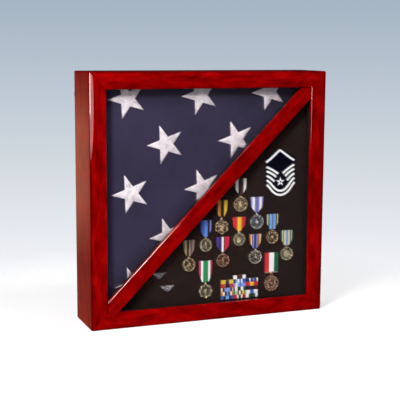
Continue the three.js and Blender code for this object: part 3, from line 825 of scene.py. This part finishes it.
# Each ribbon's stripes from left to right: share of the width, colour.
STRIPES = [
    [(5, BLACK), (22, WHITE), (24, BLACK), (22, MAROON), (25, WHITE), (2, BLACK)],
    [(16, BLACK), (22, ORANGE), (30, BLACK), (30, GOLD), (2, BLACK)],
    mirrored([(14, LAVENDER), (17, WHITE), (9, LAVENDER)], (20, DUSK)),
    [(14, NAVY_BLUE), (24, BLUE), (26, AZURE), (18, BLACK), (12, LAVENDER), (6, NAVY_BLUE)],
    [(34, RED), (4, ORANGE), (24, YELLOW), (8, ORANGE), (30, RED)],
    mirrored([(5, DARK_GREEN), (9, CREAM), (11, DARK_GREEN), (18, SKY)], (14, DUSK)),
    [(14, BROWN), (18, TAN), (20, BLACK), (10, TAN), (12, BROWN), (18, MAUVE), (8, TAN)],
    [(18, VIOLET), (18, NAVY_BLUE), (5, DUSK), (13, WHITE), (8, MAROON), (38, CRIMSON)],
    [(13, ORANGE), (4, WHITE), (7, BLACK), (13, LAVENDER), (20, NAVY_BLUE), (11, LAVENDER), (6, BLACK),
     (13, ORANGE), (13, CREAM)],
    [(12, DARK_GREEN), (4, WHITE), (10, MOSS), (17, CREAM), (15, AZURE), (15, CREAM), (13, MOSS),
     (4, WHITE), (10, DARK_GREEN)],
    [(4, NAVY_BLUE), (9, CRIMSON), (4, BLACK), (15, WHITE), (36, GREEN), (15, WHITE), (4, BLACK),
     (9, CRIMSON), (4, MAROON)],
    [(31, RED), (36, WHITE), (33, DEEP_GREEN)],
]
# Pendant of each medal: metal, slot, rim, emblem.
PENDANTS = [
    (BRONZE, "bronze", "round", "rays"),
    (BRONZE, "bronze", "hexagon", "shield"),
    (SILVER, "silver_metal", "petals", "star"),
    (GILT, "gold_metal", "round", "torch"),
    (GILT, "gold_metal", "round", "shield"),
    (BRONZE, "bronze", "round", "compass"),
    (BRONZE, "bronze", "round", "star"),
    (COPPER, "bronze", "round", "torch"),
    (PEWTER, "bronze", "round", "compass"),
    (GILT, "gold_metal", "round", "globe"),
    (GILT, "gold_metal", "rays", "compass"),
    (COPPER, "bronze", "round", "rings"),
]


# Width of each ribbon's foot, where the pendant's loop passes.
RIBBON_FEET = [8, 14, 8, 10, 8, 15, 10, 8, 12, 13, 17, 35]


def ribbon_half_width(width, share, foot):
    """Half the ribbon's width at a share of its length: straight sides, then drawn in to its foot."""
    knee = 0.62
    if foot >= width:
        return width / 2 * (1 - 0.02 * share)
    if share < knee:
        return width / 2 * (1 - 0.10 * share / knee)
    return width / 2 * 0.90 + (foot / 2 - width / 2 * 0.90) * (share - knee) / (1 - knee)


def draped_ribbon(number):
    """A ribbon hung from its pin: doubled cloth, softly bowed and drawn in to its foot. Gives its middle."""
    node = f"medal_{number}_ribbon"
    lo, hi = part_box(node)
    width, length = hi.x - lo.x, hi.z - lo.z
    foot = RIBBON_FEET[number - 1] * MM
    across, down = 16, 22
    middle = (lo.x + hi.x) / 2
    verts, uvs = [], []
    for back in (0, 1):
        for j in range(down + 1):
            share = j / down
            half = ribbon_half_width(width, share, foot)
            for i in range(across + 1):
                u = 2 * i / across - 1
                x = middle + u * half
                bow = (1 - u * u) * math.sin(math.pi * min(share * 1.15, 1.0))
                edge = abs(u) ** 6
                ripple = 0.16 * MM * math.sin(9 * u + number) * share
                if back:
                    y = hi.y - 0.35 * MM * edge
                else:
                    y = lo.y + 0.55 * MM - 0.5 * MM * bow + 0.5 * MM * edge + ripple
                verts.append((x, y, hi.z - share * length))
                uvs.append(((x - middle) / width + 0.5, share * length / width))
    row = across + 1
    layer = row * (down + 1)
    faces = []
    for j in range(down):
        for i in range(across):
            a = j * row + i
            faces.append((a, a + 1, a + 1 + row, a + row))
            faces.append((layer + a, layer + a + row, layer + a + 1 + row, layer + a + 1))
    for i in range(across):
        faces.append((i, layer + i, layer + i + 1, i + 1))
        end = down * row + i
        faces.append((end, end + 1, layer + end + 1, layer + end))
    for j in range(down):
        a = j * row
        faces.append((a, a + row, layer + a + row, layer + a))
        b = a + across
        faces.append((b, layer + b, layer + b + row, b + row))
    material = striped_ribbon(f"ribbon_{number}", STRIPES[number - 1])
    piece = mesh_piece(f"ribbon_{number}", verts, faces, material, uvs, 50)
    place(piece, "case", f"ribbon_{number}", node)
    return middle


PENDANT_RADII = [17, 17.5, 17.3, 15, 15, 15.3, 15.3, 15.5, 16.3, 16, 17, 18]
RIMS = {
    "round": lambda t: 1.0,
    "hexagon": lambda t: math.cos(math.pi / 6) / math.cos(t % (math.pi / 3) - math.pi / 6),
    "petals": lambda t: 0.90 + 0.10 * abs(math.cos(6 * t)) ** 0.6,
    "rays": lambda t: 0.78 + 0.22 * abs(math.cos(4 * t)),
}


def star_height(r, t, size, points=5):
    """Faceted star: a ridge along each point, falling to nothing at its outline."""
    sector = 2 * math.pi / points
    turned = abs((t + sector / 2) % sector - sector / 2)
    edge = size * 0.382 / (0.382 + (1 - 0.382) * (turned / (sector / 2)) ** 0.8)
    return max(0.0, 1 - r / edge) * (1 - 0.45 * turned / (sector / 2))


def emblem_height(kind, r, t):
    """Height of the middle relief, from 0 to 1, at radius share r and angle t from the top."""
    x, z = r * math.sin(t), r * math.cos(t)
    if kind == "star":
        return star_height(r, t, 0.62)
    if kind == "rays":
        return (0.35 + 0.65 * max(0.0, math.cos(8 * t))) * max(0.0, 1 - r / 0.72) ** 0.5 if r > 0.16 else 1.0
    if kind == "compass":
        return max(star_height(r, t, 0.62, 4), 0.6 * star_height(r, t + math.pi / 4, 0.42, 4))
    if kind == "torch":
        flame = max(0.0, 1 - math.hypot(x / 0.16, (z - 0.26) / 0.26))
        handle = 0.8 if abs(x) < 0.055 + 0.05 * (z + 0.5) and -0.52 < z < 0.08 else 0.0
        bowl = 0.9 if abs(z - 0.06) < 0.06 and abs(x) < 0.2 else 0.0
        return max(flame ** 0.5, handle, bowl)
    if kind == "shield":
        width = 0.36 if z > 0 else 0.36 * math.sqrt(max(0.0, 1 - (z / 0.52) ** 2))
        if z > 0.4 or abs(x) > width:
            return 0.0
        return 0.55 if z > 0.18 else 0.55 + 0.35 * (math.cos(38 * x) > 0)
    if kind == "globe":
        if r > 0.55:
            return 0.0
        turned = math.asin(max(-1, min(1, x / 0.56)))
        lines = abs(math.sin(16 * z)) < 0.25 or abs(math.sin(9 * turned)) < 0.22
        return 0.35 + 0.45 * math.sqrt(1 - (r / 0.56) ** 2) + (0.2 if lines else 0.0)
    return 1.0 if 0.46 < r < 0.62 or r < 0.14 else 0.0


def rim_height(r, t):
    """Height of the border: a raised lip, a row of beads and a wreath inside them."""
    lip = 1.0 if r > 0.93 else 0.0
    beads = 0.75 * max(0.0, math.cos(36 * t)) if 0.84 < r < 0.91 else 0.0
    leaf = math.sin(26 * t + (16 * r if t < math.pi else -16 * r))
    wreath = 0.5 * max(0.0, leaf) if 0.66 < r < 0.82 else 0.0
    return max(lip, beads, wreath)


def torus_mesh(centre, radius, wire, turn=None, around=24, section=10):
    """Vertices and faces of a ring. By default its axis lies along y."""
    verts = []
    turn = turn or Matrix.Identity(3)
    for k in range(around):
        a = ring_point(k, around)
        for s in range(section):
            b = ring_point(s, section)
            reach = radius + wire * math.cos(b)
            spot = Vector((reach * math.sin(a), wire * math.sin(b), reach * math.cos(a)))
            verts.append(Vector(centre) + turn @ spot)
    total = around * section
    return verts, [tuple(v % total for v in face) for face in ring_faces(around + 1, section)]


def join_parts(parts):
    """Joins (vertices, faces, relief) parts into one list of each."""
    verts, faces, relief = [], [], []
    for part_verts, part_faces, part_relief in parts:
        base = len(verts)
        verts += list(part_verts)
        faces += [tuple(base + v for v in face) for face in part_faces]
        relief += list(part_relief)
    return verts, faces, relief


def struck_disc(centre, radius, back, front, rim, emblem, depth, dome=0.0):
    """A pendant's disc: front relief on rings that bulge by `dome`, a plain edge and a dished back."""
    rings, around = 34, 120
    verts = [(centre.x, front - dome - depth * emblem_height(emblem, 0.0, 0.0), centre.z)]
    relief = [emblem_height(emblem, 0.0, 0.0)]
    for r in range(1, rings + 1):
        share = r / rings
        for k in range(around):
            t = ring_point(k, around)
            reach = radius * share * (1 + (RIMS[rim](t) - 1) * share ** 2)
            height = max(emblem_height(emblem, share, t), rim_height(share, t))
            y = front - dome * (1 - share ** 2) - depth * height * (1 - 0.4 * (1 - share ** 2))
            verts.append((centre.x + reach * math.sin(t), y, centre.z + reach * math.cos(t)))
            relief.append(height)
    for share, y in ((1.0, front + (back - front) * 0.85), (0.94, back), (0.5, back - 0.2 * MM)):
        for k in range(around):
            t = ring_point(k, around)
            reach = radius * share * RIMS[rim](t)
            verts.append((centre.x + reach * math.sin(t), y, centre.z + reach * math.cos(t)))
            relief.append(0.4)
    verts.append((centre.x, back - 0.2 * MM, centre.z))
    relief.append(0.4)
    total = rings + 3
    faces = fan_faces(total, around)
    last = 1 + (total - 1) * around
    faces += [(len(verts) - 1, last + (k + 1) % around, last + k) for k in range(around)]
    return verts, faces, relief


def pendant(number, middle):
    """A medal's pendant: its disc, and the two rings that hang it from the ribbon."""
    metal, slot, rim, emblem = PENDANTS[number - 1]
    node = f"medal_{number}_pendant"
    lo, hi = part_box(node)
    ribbon_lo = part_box(f"medal_{number}_ribbon")[0]
    radius = PENDANT_RADII[number - 1] * MM
    centre = Vector((middle, 0, lo.z + radius * (math.cos(math.pi / 6) if rim == "hexagon" else 1)))
    front = lo.y + 1.25 * MM
    parts = [struck_disc(centre, radius, hi.y, front, rim, emblem, 1.05 * MM, 0.55 * MM)]
    link = 3.3 * MM if number == len(PENDANTS) else 1.9 * MM
    loop_z = centre.z + radius + link - 0.5 * MM
    neck_y = (front + hi.y) / 2
    for z, size, wire, turned in (
        (loop_z, link, 0.55 * MM, None),
        (loop_z + 1.3 * link, 2.0 * MM, 0.42 * MM, Matrix.Rotation(math.radians(62), 3, "Z")),
    ):
        if z + size > hi.z + 1.2 * MM:
            z = hi.z + 1.2 * MM - size
        verts, faces = torus_mesh((middle, neck_y, z), size, wire, turned)
        parts.append((verts, faces, [0.8] * len(verts)))
    verts, faces, relief = join_parts(parts)
    piece = mesh_piece(f"pendant_{number}", verts, faces, metal, smooth=50, attribute=relief)
    place(piece, "case", slot, node)
    if number == len(PENDANTS):
        spot = (middle, ribbon_lo.y + 0.9 * MM, ribbon_lo.z + 1.2 * MM)
        bar = rounded_block(spot, (35 * MM, 2.0 * MM, 3.0 * MM), 0.6 * MM)
        place(mesh_piece("clasp_bar", *bar, metal, smooth=50, attribute=[0.7] * len(bar[0])), "case", slot)


def rounded_block(centre, size, radius, steps=3):
    """Vertices and faces of a box whose x-z outline has round corners and whose front edges are eased."""
    half_x, half_z = size[0] / 2 - radius, size[2] / 2 - radius
    outline = []
    for k, (sx, sz) in enumerate(((1, 1), (-1, 1), (-1, -1), (1, -1))):
        outline += arc((sx * half_x, sz * half_z), (radius, radius), 90 * k, 90 * (k + 1), steps)
    ease = min(radius, size[1] / 2) * 0.6
    rings = [(ease, -size[1] / 2), (0.3 * ease, -size[1] / 2 + 0.3 * ease), (0.0, -size[1] / 2 + ease),
             (0.0, size[1] / 2)]
    verts = []
    for inset, y in rings:
        shrink_x = 1 - inset / (size[0] / 2)
        shrink_z = 1 - inset / (size[2] / 2)
        verts += [(centre[0] + x * shrink_x, centre[1] + y, centre[2] + z * shrink_z) for x, z in outline]
    around = len(outline)
    faces = tube_faces(len(rings), around)
    return verts, faces


for number in range(1, len(STRIPES) + 1):
    pendant(number, draped_ribbon(number))


# ---- Ribbon rack, sleeve patch and badges ---------------------------------------------------------------

RACK_ROWS = (5, 6, 5)
# Bars from the bottom of each column upwards.
RACK_STRIPES = [
    mirrored([(22, BLUE), (14, BLACK)], (28, SKY)),
    [(14, ORANGE), (14, WHITE), (18, NAVY_BLUE), (12, LAVENDER), (16, NAVY_BLUE), (12, WHITE),
     (14, ORANGE)],
    mirrored([(12, CREAM), (14, BLACK), (16, LAVENDER)], (16, SKY)),
    [(26, RED), (8, MAUVE), (34, BLACK), (8, MAUVE), (24, RED)],
    mirrored([(36, YELLOW)], (28, NAVY_BLUE)),
    [(28, RED), (14, WHITE), (18, BLACK), (14, WHITE), (26, RED)],
    [(12, GREEN), (20, CREAM), (12, BLACK), (14, WHITE), (12, BLACK), (18, YELLOW), (12, GREEN)],
    [(10, BLACK), (22, WHITE), (14, DARK_GREEN), (12, BLACK), (22, WHITE), (20, DARK_GREEN)],
    [(16, LAVENDER), (14, WHITE), (18, SKY), (12, BLUE), (14, SKY), (26, LAVENDER)],
    [(16, NAVY_BLUE), (18, SKY), (12, WHITE), (14, BLUE), (12, WHITE), (28, BLUE)],
    [(26, WHITE), (46, MAROON), (28, WHITE)],
    [(24, WHITE), (18, DARK_GREEN), (16, BLACK), (20, DARK_GREEN), (22, WHITE)],
    mirrored([(34, WHITE)], (32, BLUE)),
    [(26, BLACK), (18, NAVY_BLUE), (22, BLACK), (34, MAROON)],
    [(32, RED), (6, ORANGE), (22, YELLOW), (6, ORANGE), (34, RED)],
    [(28, NAVY_BLUE), (10, WHITE), (20, NAVY_BLUE), (10, LAVENDER), (20, NAVY_BLUE), (12, WHITE)],
]


def ribbon_rack():
    """Ribbon bars in stepped columns on one brass backing."""
    lo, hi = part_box("ribbon_rack")
    column_width = (hi.x - lo.x) / len(RACK_ROWS)
    row_height = (hi.z - lo.z) / max(RACK_ROWS)
    number = 0
    for column, rows in enumerate(RACK_ROWS):
        for row in range(rows):
            centre = (lo.x + (column + 0.5) * column_width, (lo.y + hi.y) / 2 - 0.2 * MM,
                      lo.z + (row + 0.5) * row_height)
            size = (column_width - 0.7 * MM, 2.4 * MM, row_height - 0.7 * MM)
            verts, faces = rounded_block(centre, size, 0.8 * MM)
            uvs = [((x - centre[0]) / size[0] + 0.5, (z - centre[2]) / size[0]) for x, _, z in verts]
            material = striped_ribbon(f"rack_bar_{number + 1}", RACK_STRIPES[number])
            bar = mesh_piece(f"rack_bar_{number + 1}", verts, faces, material, uvs, 50)
            place(bar, "case", "rack_cloth", "ribbon_rack")
            number += 1
        height = rows * row_height
        plate = rounded_block(
            (lo.x + (column + 0.5) * column_width, hi.y - 0.35 * MM, lo.z + height / 2),
            (column_width - 0.1 * MM, 0.6 * MM, height), 0.5 * MM,
        )
        place(mesh_piece(f"rack_backing_{column + 1}", *plate, BRASS), "case", "brass", "ribbon_rack")


def strip_along(points, width, base, raise_by):
    """A raised line of stitching along (x, z) points, with its UVs along and across it."""
    verts, uvs = [], []
    lanes = ((-1.0, 0.0), (-0.8, 0.6), (-0.4, 0.95), (0.0, 1.0), (0.4, 0.95), (0.8, 0.6), (1.0, 0.0))
    run = 0.0
    for k, (x, z) in enumerate(points):
        ahead, behind = points[min(k + 1, len(points) - 1)], points[max(k - 1, 0)]
        way = Vector((ahead[0] - behind[0], ahead[1] - behind[1])).normalized()
        if k:
            run += math.hypot(x - points[k - 1][0], z - points[k - 1][1])
        for lane, height in lanes:
            aside = lane * width / 2
            verts.append((x - way.y * aside, base - raise_by * height, z + way.x * aside))
            uvs.append((run / width, lane))
    return verts, tube_faces(len(points), len(lanes)), uvs


def curve_value(t, a, b, c, d):
    """A smooth curve's value between b and c at share t, with a before them and d after them."""
    square = 2 * a - 5 * b + 4 * c - d
    cube = 3 * b - a - 3 * c + d
    return 0.5 * (2 * b + (c - a) * t + square * t ** 2 + cube * t ** 3)


def smooth(points, steps=8):
    """A smooth line through (x, z) points."""
    line = []
    for k in range(len(points) - 1):
        p0, p1 = points[max(k - 1, 0)], points[k]
        p2, p3 = points[k + 1], points[min(k + 2, len(points) - 1)]
        for s in range(steps):
            t = s / steps
            line.append(tuple(curve_value(t, *values) for values in zip(p0, p1, p2, p3)))
    return line + [points[-1]]


PATCH_MIDDLE = 56
# Half of each line of the patch, from the edge inwards: (x, z) in millimetres from its bottom centre.
PATCH_LINES = {
    "peak": [(36.5, 82.5), (27, 88.5), (15, 97.5), (0, 109)],
    "arm_upper": [(36, 71.5), (28, 68), (17, 61.5), (6, 53.5)],
    "arm_middle": [(36, 61.5), (28, 58), (19, 52.5), (12, 46.5)],
    "arm_lower": [(36, 51), (29, 47), (22, 41.5), (16.5, 36)],
    "bow_upper": [(36, 40.5), (28, 34), (19, 23.5), (10, 15.2), (0, 12.6)],
    "bow_lower": [(36, 30), (29, 22), (21, 12), (11, 5), (0, 2.6)],
}


def chevron_patch():
    """Sleeve patch: dark cloth, a peaked line on top, curved lines on each side, a star in the middle."""
    lo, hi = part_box("chevron_patch")
    middle = (lo.x + hi.x) / 2
    half, height = (hi.x - lo.x) / 2, hi.z - lo.z
    thread = embroidery("patch_thread", (1.0, 1.0, 1.0), (0.78, 0.79, 0.84))
    cloth = moulded("patch_cloth", (0.0012, 0.0014, 0.0065), 0.95, 900, 0.04)
    shoulder = hi.z - 20 * MM
    outline = [(middle + half, lo.z + half), (middle + half, shoulder)]
    outline += [(middle, hi.z), (middle - half, shoulder), (middle - half, lo.z + half)]
    outline += arc((middle, lo.z + half), (half, half), 180, 360, 24)[1:-1]
    verts = []
    rings = ((0.985, lo.y + 0.45 * MM), (1.0, lo.y + 0.9 * MM), (1.0, hi.y))
    centre_z = lo.z + height / 2
    for share, y in rings:
        verts += [(middle + (x - middle) * share, y, centre_z + (z - centre_z) * share) for x, z in outline]
    around = len(outline)
    faces = tube_faces(len(rings), around)
    place(mesh_piece("patch_ground", verts, faces, cloth, smooth=50), "case", "patch_cloth", "chevron_patch")

    base = lo.y + 0.5 * MM
    lean = math.radians(2.5)
    turn = Matrix.Rotation(lean, 2)

    def on_patch(x, z):
        """A point of the design in millimetres from the patch's bottom centre, leaned with the patch."""
        spot = turn @ Vector((x, z - PATCH_MIDDLE)) + Vector((0, PATCH_MIDDLE))
        return middle + spot.x * MM, lo.z + spot.y * MM

    for name, points in PATCH_LINES.items():
        for side in (-1, 1):
            if name.startswith("bow") and side > 0:
                continue
            half_line = [(side * x, z) for x, z in points]
            if name.startswith("bow"):
                half_line += [(-x, z) for x, z in reversed(half_line[:-1])]
            line = [on_patch(x, z) for x, z in smooth(half_line)]
            verts, faces, uvs = strip_along(line, 5.2 * MM, base, 0.5 * MM)
            label = f"patch_{name}" + ("" if name.startswith("bow") else "_left" if side < 0 else "_right")
            place(mesh_piece(label, verts, faces, thread, uvs, 60), "case", "patch_cloth", "chevron_patch")

    star_z = lo.z + 34 * MM
    verts, uvs = [(middle, base - 1.2 * MM, star_z)], [(0.0, 0.0)]
    around, size = 60, 11.5 * MM
    for share, height_here in ((0.5, 0.9 * MM), (0.85, 0.7 * MM), (1.0, 0.0)):
        for k in range(around):
            a = ring_point(k, around)
            r = size * share * star_outline(a)
            verts.append((middle + r * math.sin(a), base - height_here, star_z + r * math.cos(a)))
            uvs.append((3 * a, share))
    faces = fan_faces(3, around, closed=True)
    place(mesh_piece("patch_star", verts, faces, thread, uvs, 60), "case", "patch_cloth", "chevron_patch")
    dot_verts, dot_faces = rounded_block((middle, base - 1.15 * MM, star_z), (4.2 * MM, 0.7 * MM, 4.2 * MM),
                                         2.0 * MM, 6)
    dot = mesh_piece("patch_star_dot", dot_verts, dot_faces, cloth)
    place(dot, "case", "patch_cloth", "chevron_patch")


def winged_badge(node):
    """A small silver badge: a round boss between two wings of layered feathers."""
    lo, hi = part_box(node)
    centre = Vector(((lo.x + hi.x) / 2, 0, (lo.z + hi.z) / 2))
    half_x, half_z = (hi.x - lo.x) / 2, (hi.z - lo.z) / 2
    parts = [struck_disc(centre, half_z * 0.92, hi.y, lo.y + 0.7 * MM, "round", "star", 0.6 * MM)]
    for side in (-1, 1):
        for k in range(4):
            root = (centre.x + side * half_z * 0.75, centre.z + half_z * (0.30 - 0.26 * k))
            tip = (centre.x + side * half_x * (0.97 - 0.13 * k), centre.z + half_z * (0.72 - 0.36 * k))
            mid = ((root[0] + tip[0]) / 2, (root[1] + tip[1]) / 2 + half_z * 0.22)
            verts, faces, _ = strip_along(smooth([root, mid, tip], 6), 1.4 * MM, hi.y - 0.1 * MM, 1.5 * MM)
            parts.append((verts, faces, [0.75 - 0.25 * k] * len(verts)))
    verts, faces, relief = join_parts(parts)
    piece = mesh_piece(node + "_relief", verts, faces, SILVER, smooth=50, attribute=relief)
    place(piece, "case", "silver_metal", node)


ribbon_rack()
chevron_patch()
for node in ("badge_upper", "badge_lower"):
    winged_badge(node)


# ---- Back of the case -----------------------------------------------------------------------------------

def screw_head(name, centre, radius, body, slot, material):
    """A pan-head screw seen from behind: a low dome with a crossed recess."""
    rings, around = 7, 24
    verts = [(centre[0], centre[1] + 0.1 * MM, centre[2])]
    for r in range(1, rings + 1):
        share = r / rings
        for k in range(around):
            a = ring_point(k, around)
            x, z = radius * share * math.cos(a), radius * share * math.sin(a)
            dome = 1.0 * MM * math.sqrt(max(0.0, 1 - (share * 0.98) ** 2)) if share < 1 else 0.0
            slotted = min(abs(x), abs(z)) < 0.22 * radius and share < 0.62
            verts.append((centre[0] + x, centre[1] + dome - (0.7 * MM if slotted else 0.0), centre[2] + z))
    faces = fan_faces(rings, around, closed=True)
    place(mesh_piece(name, verts, faces, material, smooth=35), body, slot)


def hinge_screws():
    """Screws along both leaves of the continuous hinge."""
    for body, node in (("case", "hinge_leaf_case"), ("door", "hinge_leaf_door")):
        lo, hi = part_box(node)
        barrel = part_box("hinge_pin")[0].x
        free_edge = lo.x if abs(lo.x - barrel) > abs(hi.x - barrel) else hi.x
        x = barrel + (free_edge - barrel) * 0.66
        surface = lo.y + 1.2 * MM
        count = 8
        for k in range(count):
            z = lo.z + (hi.z - lo.z) * (k + 0.5) / count
            screw_head(f"hinge_screw_{body}_{k + 1}", (x, surface, z), 2.7 * MM, body, "brass", BRASS)


paint("back_door", BOARD)
for node in ("hinge_leaf_case", "hinge_leaf_door"):
    paint(node, BRASS)
for node in ("hinge_pin", "strike_plate", "hanger_plate_left", "hanger_plate_right", "hanger_ring_left",
             "hanger_ring_right"):
    paint(node, STEEL)
paint("magnetic_catch", PLASTIC)
for node in ("wall_bumper_left", "wall_bumper_right"):
    paint(node, RUBBER)
hinge_screws()


# ---- Stage, light and camera ----------------------------------------------------------------------------

def floor():
    """A pale floor that fades into the backdrop with distance."""
    material = bpy.data.materials.new("floor")
    material.use_nodes = True
    tree = material.node_tree
    bsdf = tree.nodes["Principled BSDF"]
    bsdf.inputs["Base Color"].default_value = (0.62, 0.62, 0.63, 1)
    bsdf.inputs["Emission Color"].default_value = (0.97, 0.98, 1.0, 1)
    bsdf.inputs["Emission Strength"].default_value = 0.42
    bsdf.inputs["Roughness"].default_value = 0.9
    bsdf.inputs["Specular IOR Level"].default_value = 0.0
    spot = add(material, "TexCoord").outputs["Object"]
    reach = add(material, "VectorMath", {0: spot}, operation="LENGTH")
    fade = add(material, "MapRange", {"Value": reach.outputs["Value"], "From Min": 0.36, "From Max": 0.85})
    clear = add(material, "BsdfTransparent")
    mix = add(material, "MixShader", {0: fade.outputs["Result"], 1: bsdf.outputs[0], 2: clear.outputs[0]})
    tree.links.new(mix.outputs[0], tree.nodes["Material Output"].inputs["Surface"])
    half = 8.0
    corners = [(-half, -half, 0), (half, -half, 0), (half, half, 0), (-half, half, 0)]
    mesh = bpy.data.meshes.new("floor")
    mesh.from_pydata(corners, [], [(0, 1, 2, 3)])
    mesh.materials.append(material)
    piece = link_new("floor", mesh)
    piece.visible_glossy = False


def backdrop():
    """World light: a pale blue-grey backdrop, a soft fill, and a dim room for the lacquer to mirror."""
    world = bpy.data.worlds.new("studio")
    bpy.context.scene.world = world
    world.use_nodes = True
    world.node_tree.nodes.clear()
    way = add(world, "SeparateXYZ", {0: add(world, "TexCoord").outputs["Generated"]})
    rise = add(world, "MapRange", {"Value": way.outputs["Z"], "From Min": -0.30, "From Max": 0.04})
    seen = ramp(world, rise.outputs["Result"], [
        (0.0, (1.0, 1.0, 1.0)),
        (0.15, (0.973, 0.973, 0.975)),
        (0.38, (0.776, 0.800, 0.856)),
        (0.58, (0.624, 0.680, 0.730)),
        (0.78, (0.497, 0.565, 0.644)),
        (1.0, (0.380, 0.465, 0.548)),
    ])
    ahead = add(world, "MapRange", {"Value": way.outputs["Y"], "From Min": 0.2, "From Max": 0.8})
    height = add(world, "MapRange", {"Value": way.outputs["Z"], "From Min": -0.35, "From Max": 0.10})
    room = ramp(world, height.outputs["Result"], [
        (0.0, (0.22, 0.085, 0.050)),
        (0.30, (0.16, 0.07, 0.045)),
        (0.45, (0.62, 0.25, 0.16)),
        (0.62, (0.62, 0.25, 0.15)),
        (0.70, (0.26, 0.10, 0.06)),
        (0.78, (0.05, 0.012, 0.012)),
        (1.0, (0.03, 0.010, 0.010)),
    ])
    rays = add(world, "LightPath")
    picture = add(world, "Background", {"Color": seen, "Strength": 1.0})
    mirror = add(world, "Background", {"Color": room, "Strength": ahead.outputs["Result"]})
    fill = add(world, "Background", {"Color": (0.93, 0.96, 1.0, 1), "Strength": 0.17})
    unseen = {0: rays.outputs["Is Glossy Ray"], 1: fill.outputs[0], 2: mirror.outputs[0]}
    glossy = add(world, "MixShader", unseen)
    everything = {0: rays.outputs["Is Camera Ray"], 1: glossy.outputs[0], 2: picture.outputs[0]}
    add(world, "OutputWorld", {"Surface": add(world, "MixShader", everything).outputs[0]})


def softbox(name, place_at, aim, size, watts, colour, only=None, shape="RECTANGLE"):
    """A soft light that the camera doesn't see. `only` limits it to "diffuse" light or to "mirror" gloss."""
    light = bpy.data.lights.new(name, "AREA")
    light.shape = shape
    light.size, light.size_y = size
    light.energy = watts
    light.color = colour
    lamp = link_new(name, light)
    lamp.location = place_at
    lamp.rotation_euler = (Vector(aim) - Vector(place_at)).to_track_quat("-Z", "Y").to_euler()
    lamp.visible_camera = False
    lamp.visible_glossy = only != "diffuse"
    lamp.visible_diffuse = only != "mirror"
    lamp.visible_transmission = only is None


def photo_camera():
    """Camera in front, to the left of the case and above it, turned to the right and tilted down."""
    stand = Vector((-0.8568, FRONT - 2.1059, 0.6284))
    turn_right, tilt_down, roll = math.radians(21.434), math.radians(8.687), math.radians(0.331)
    camera = bpy.data.cameras.new("camera")
    camera.lens = 90.91
    camera.sensor_width = 36.0
    camera.clip_start = 0.05
    holder = link_new("camera", camera)
    look = Vector((math.sin(turn_right) * math.cos(tilt_down), math.cos(turn_right) * math.cos(tilt_down),
                   -math.sin(tilt_down)))
    side = Vector((math.cos(turn_right), -math.sin(turn_right), 0))
    up = side.cross(look)
    side, up = side * math.cos(roll) + up * math.sin(roll), up * math.cos(roll) - side * math.sin(roll)
    holder.matrix_world = Matrix.Translation(stand) @ Matrix((side, up, -look)).transposed().to_4x4()
    bpy.context.scene.camera = holder


bpy.context.scene.view_settings.view_transform = "Standard"
photo_camera()
backdrop()
floor()
softbox("key", (-1.45, -1.38, 1.66), (0.0, 0.0, 0.32), (0.5, 0.45), 55, (1.0, 0.98, 0.96))
softbox("top_fill", (0.35, -0.80, 1.9), (0.05, 0.0, 0.50), (0.5, 0.4), 21, (1.0, 0.98, 0.96), "diffuse")
softbox("back_fill", (-1.2, 2.3, 1.6), (0.0, 0.0, 0.30), (1.6, 1.4), 30, (1.0, 0.98, 0.96), "diffuse")
softbox("edge_card", (-1.23, -1.10, 0.79), (-0.28, -0.06, 0.50), (0.75, 0.78), 36, (1.0, 0.96, 0.95),
        "mirror")
softbox("face_card", (-0.97, -1.39, 0.40), (-0.28, -0.06, 0.474), (2.0, 0.34), 11, (1.0, 0.58, 0.58),
        "mirror", "ELLIPSE")
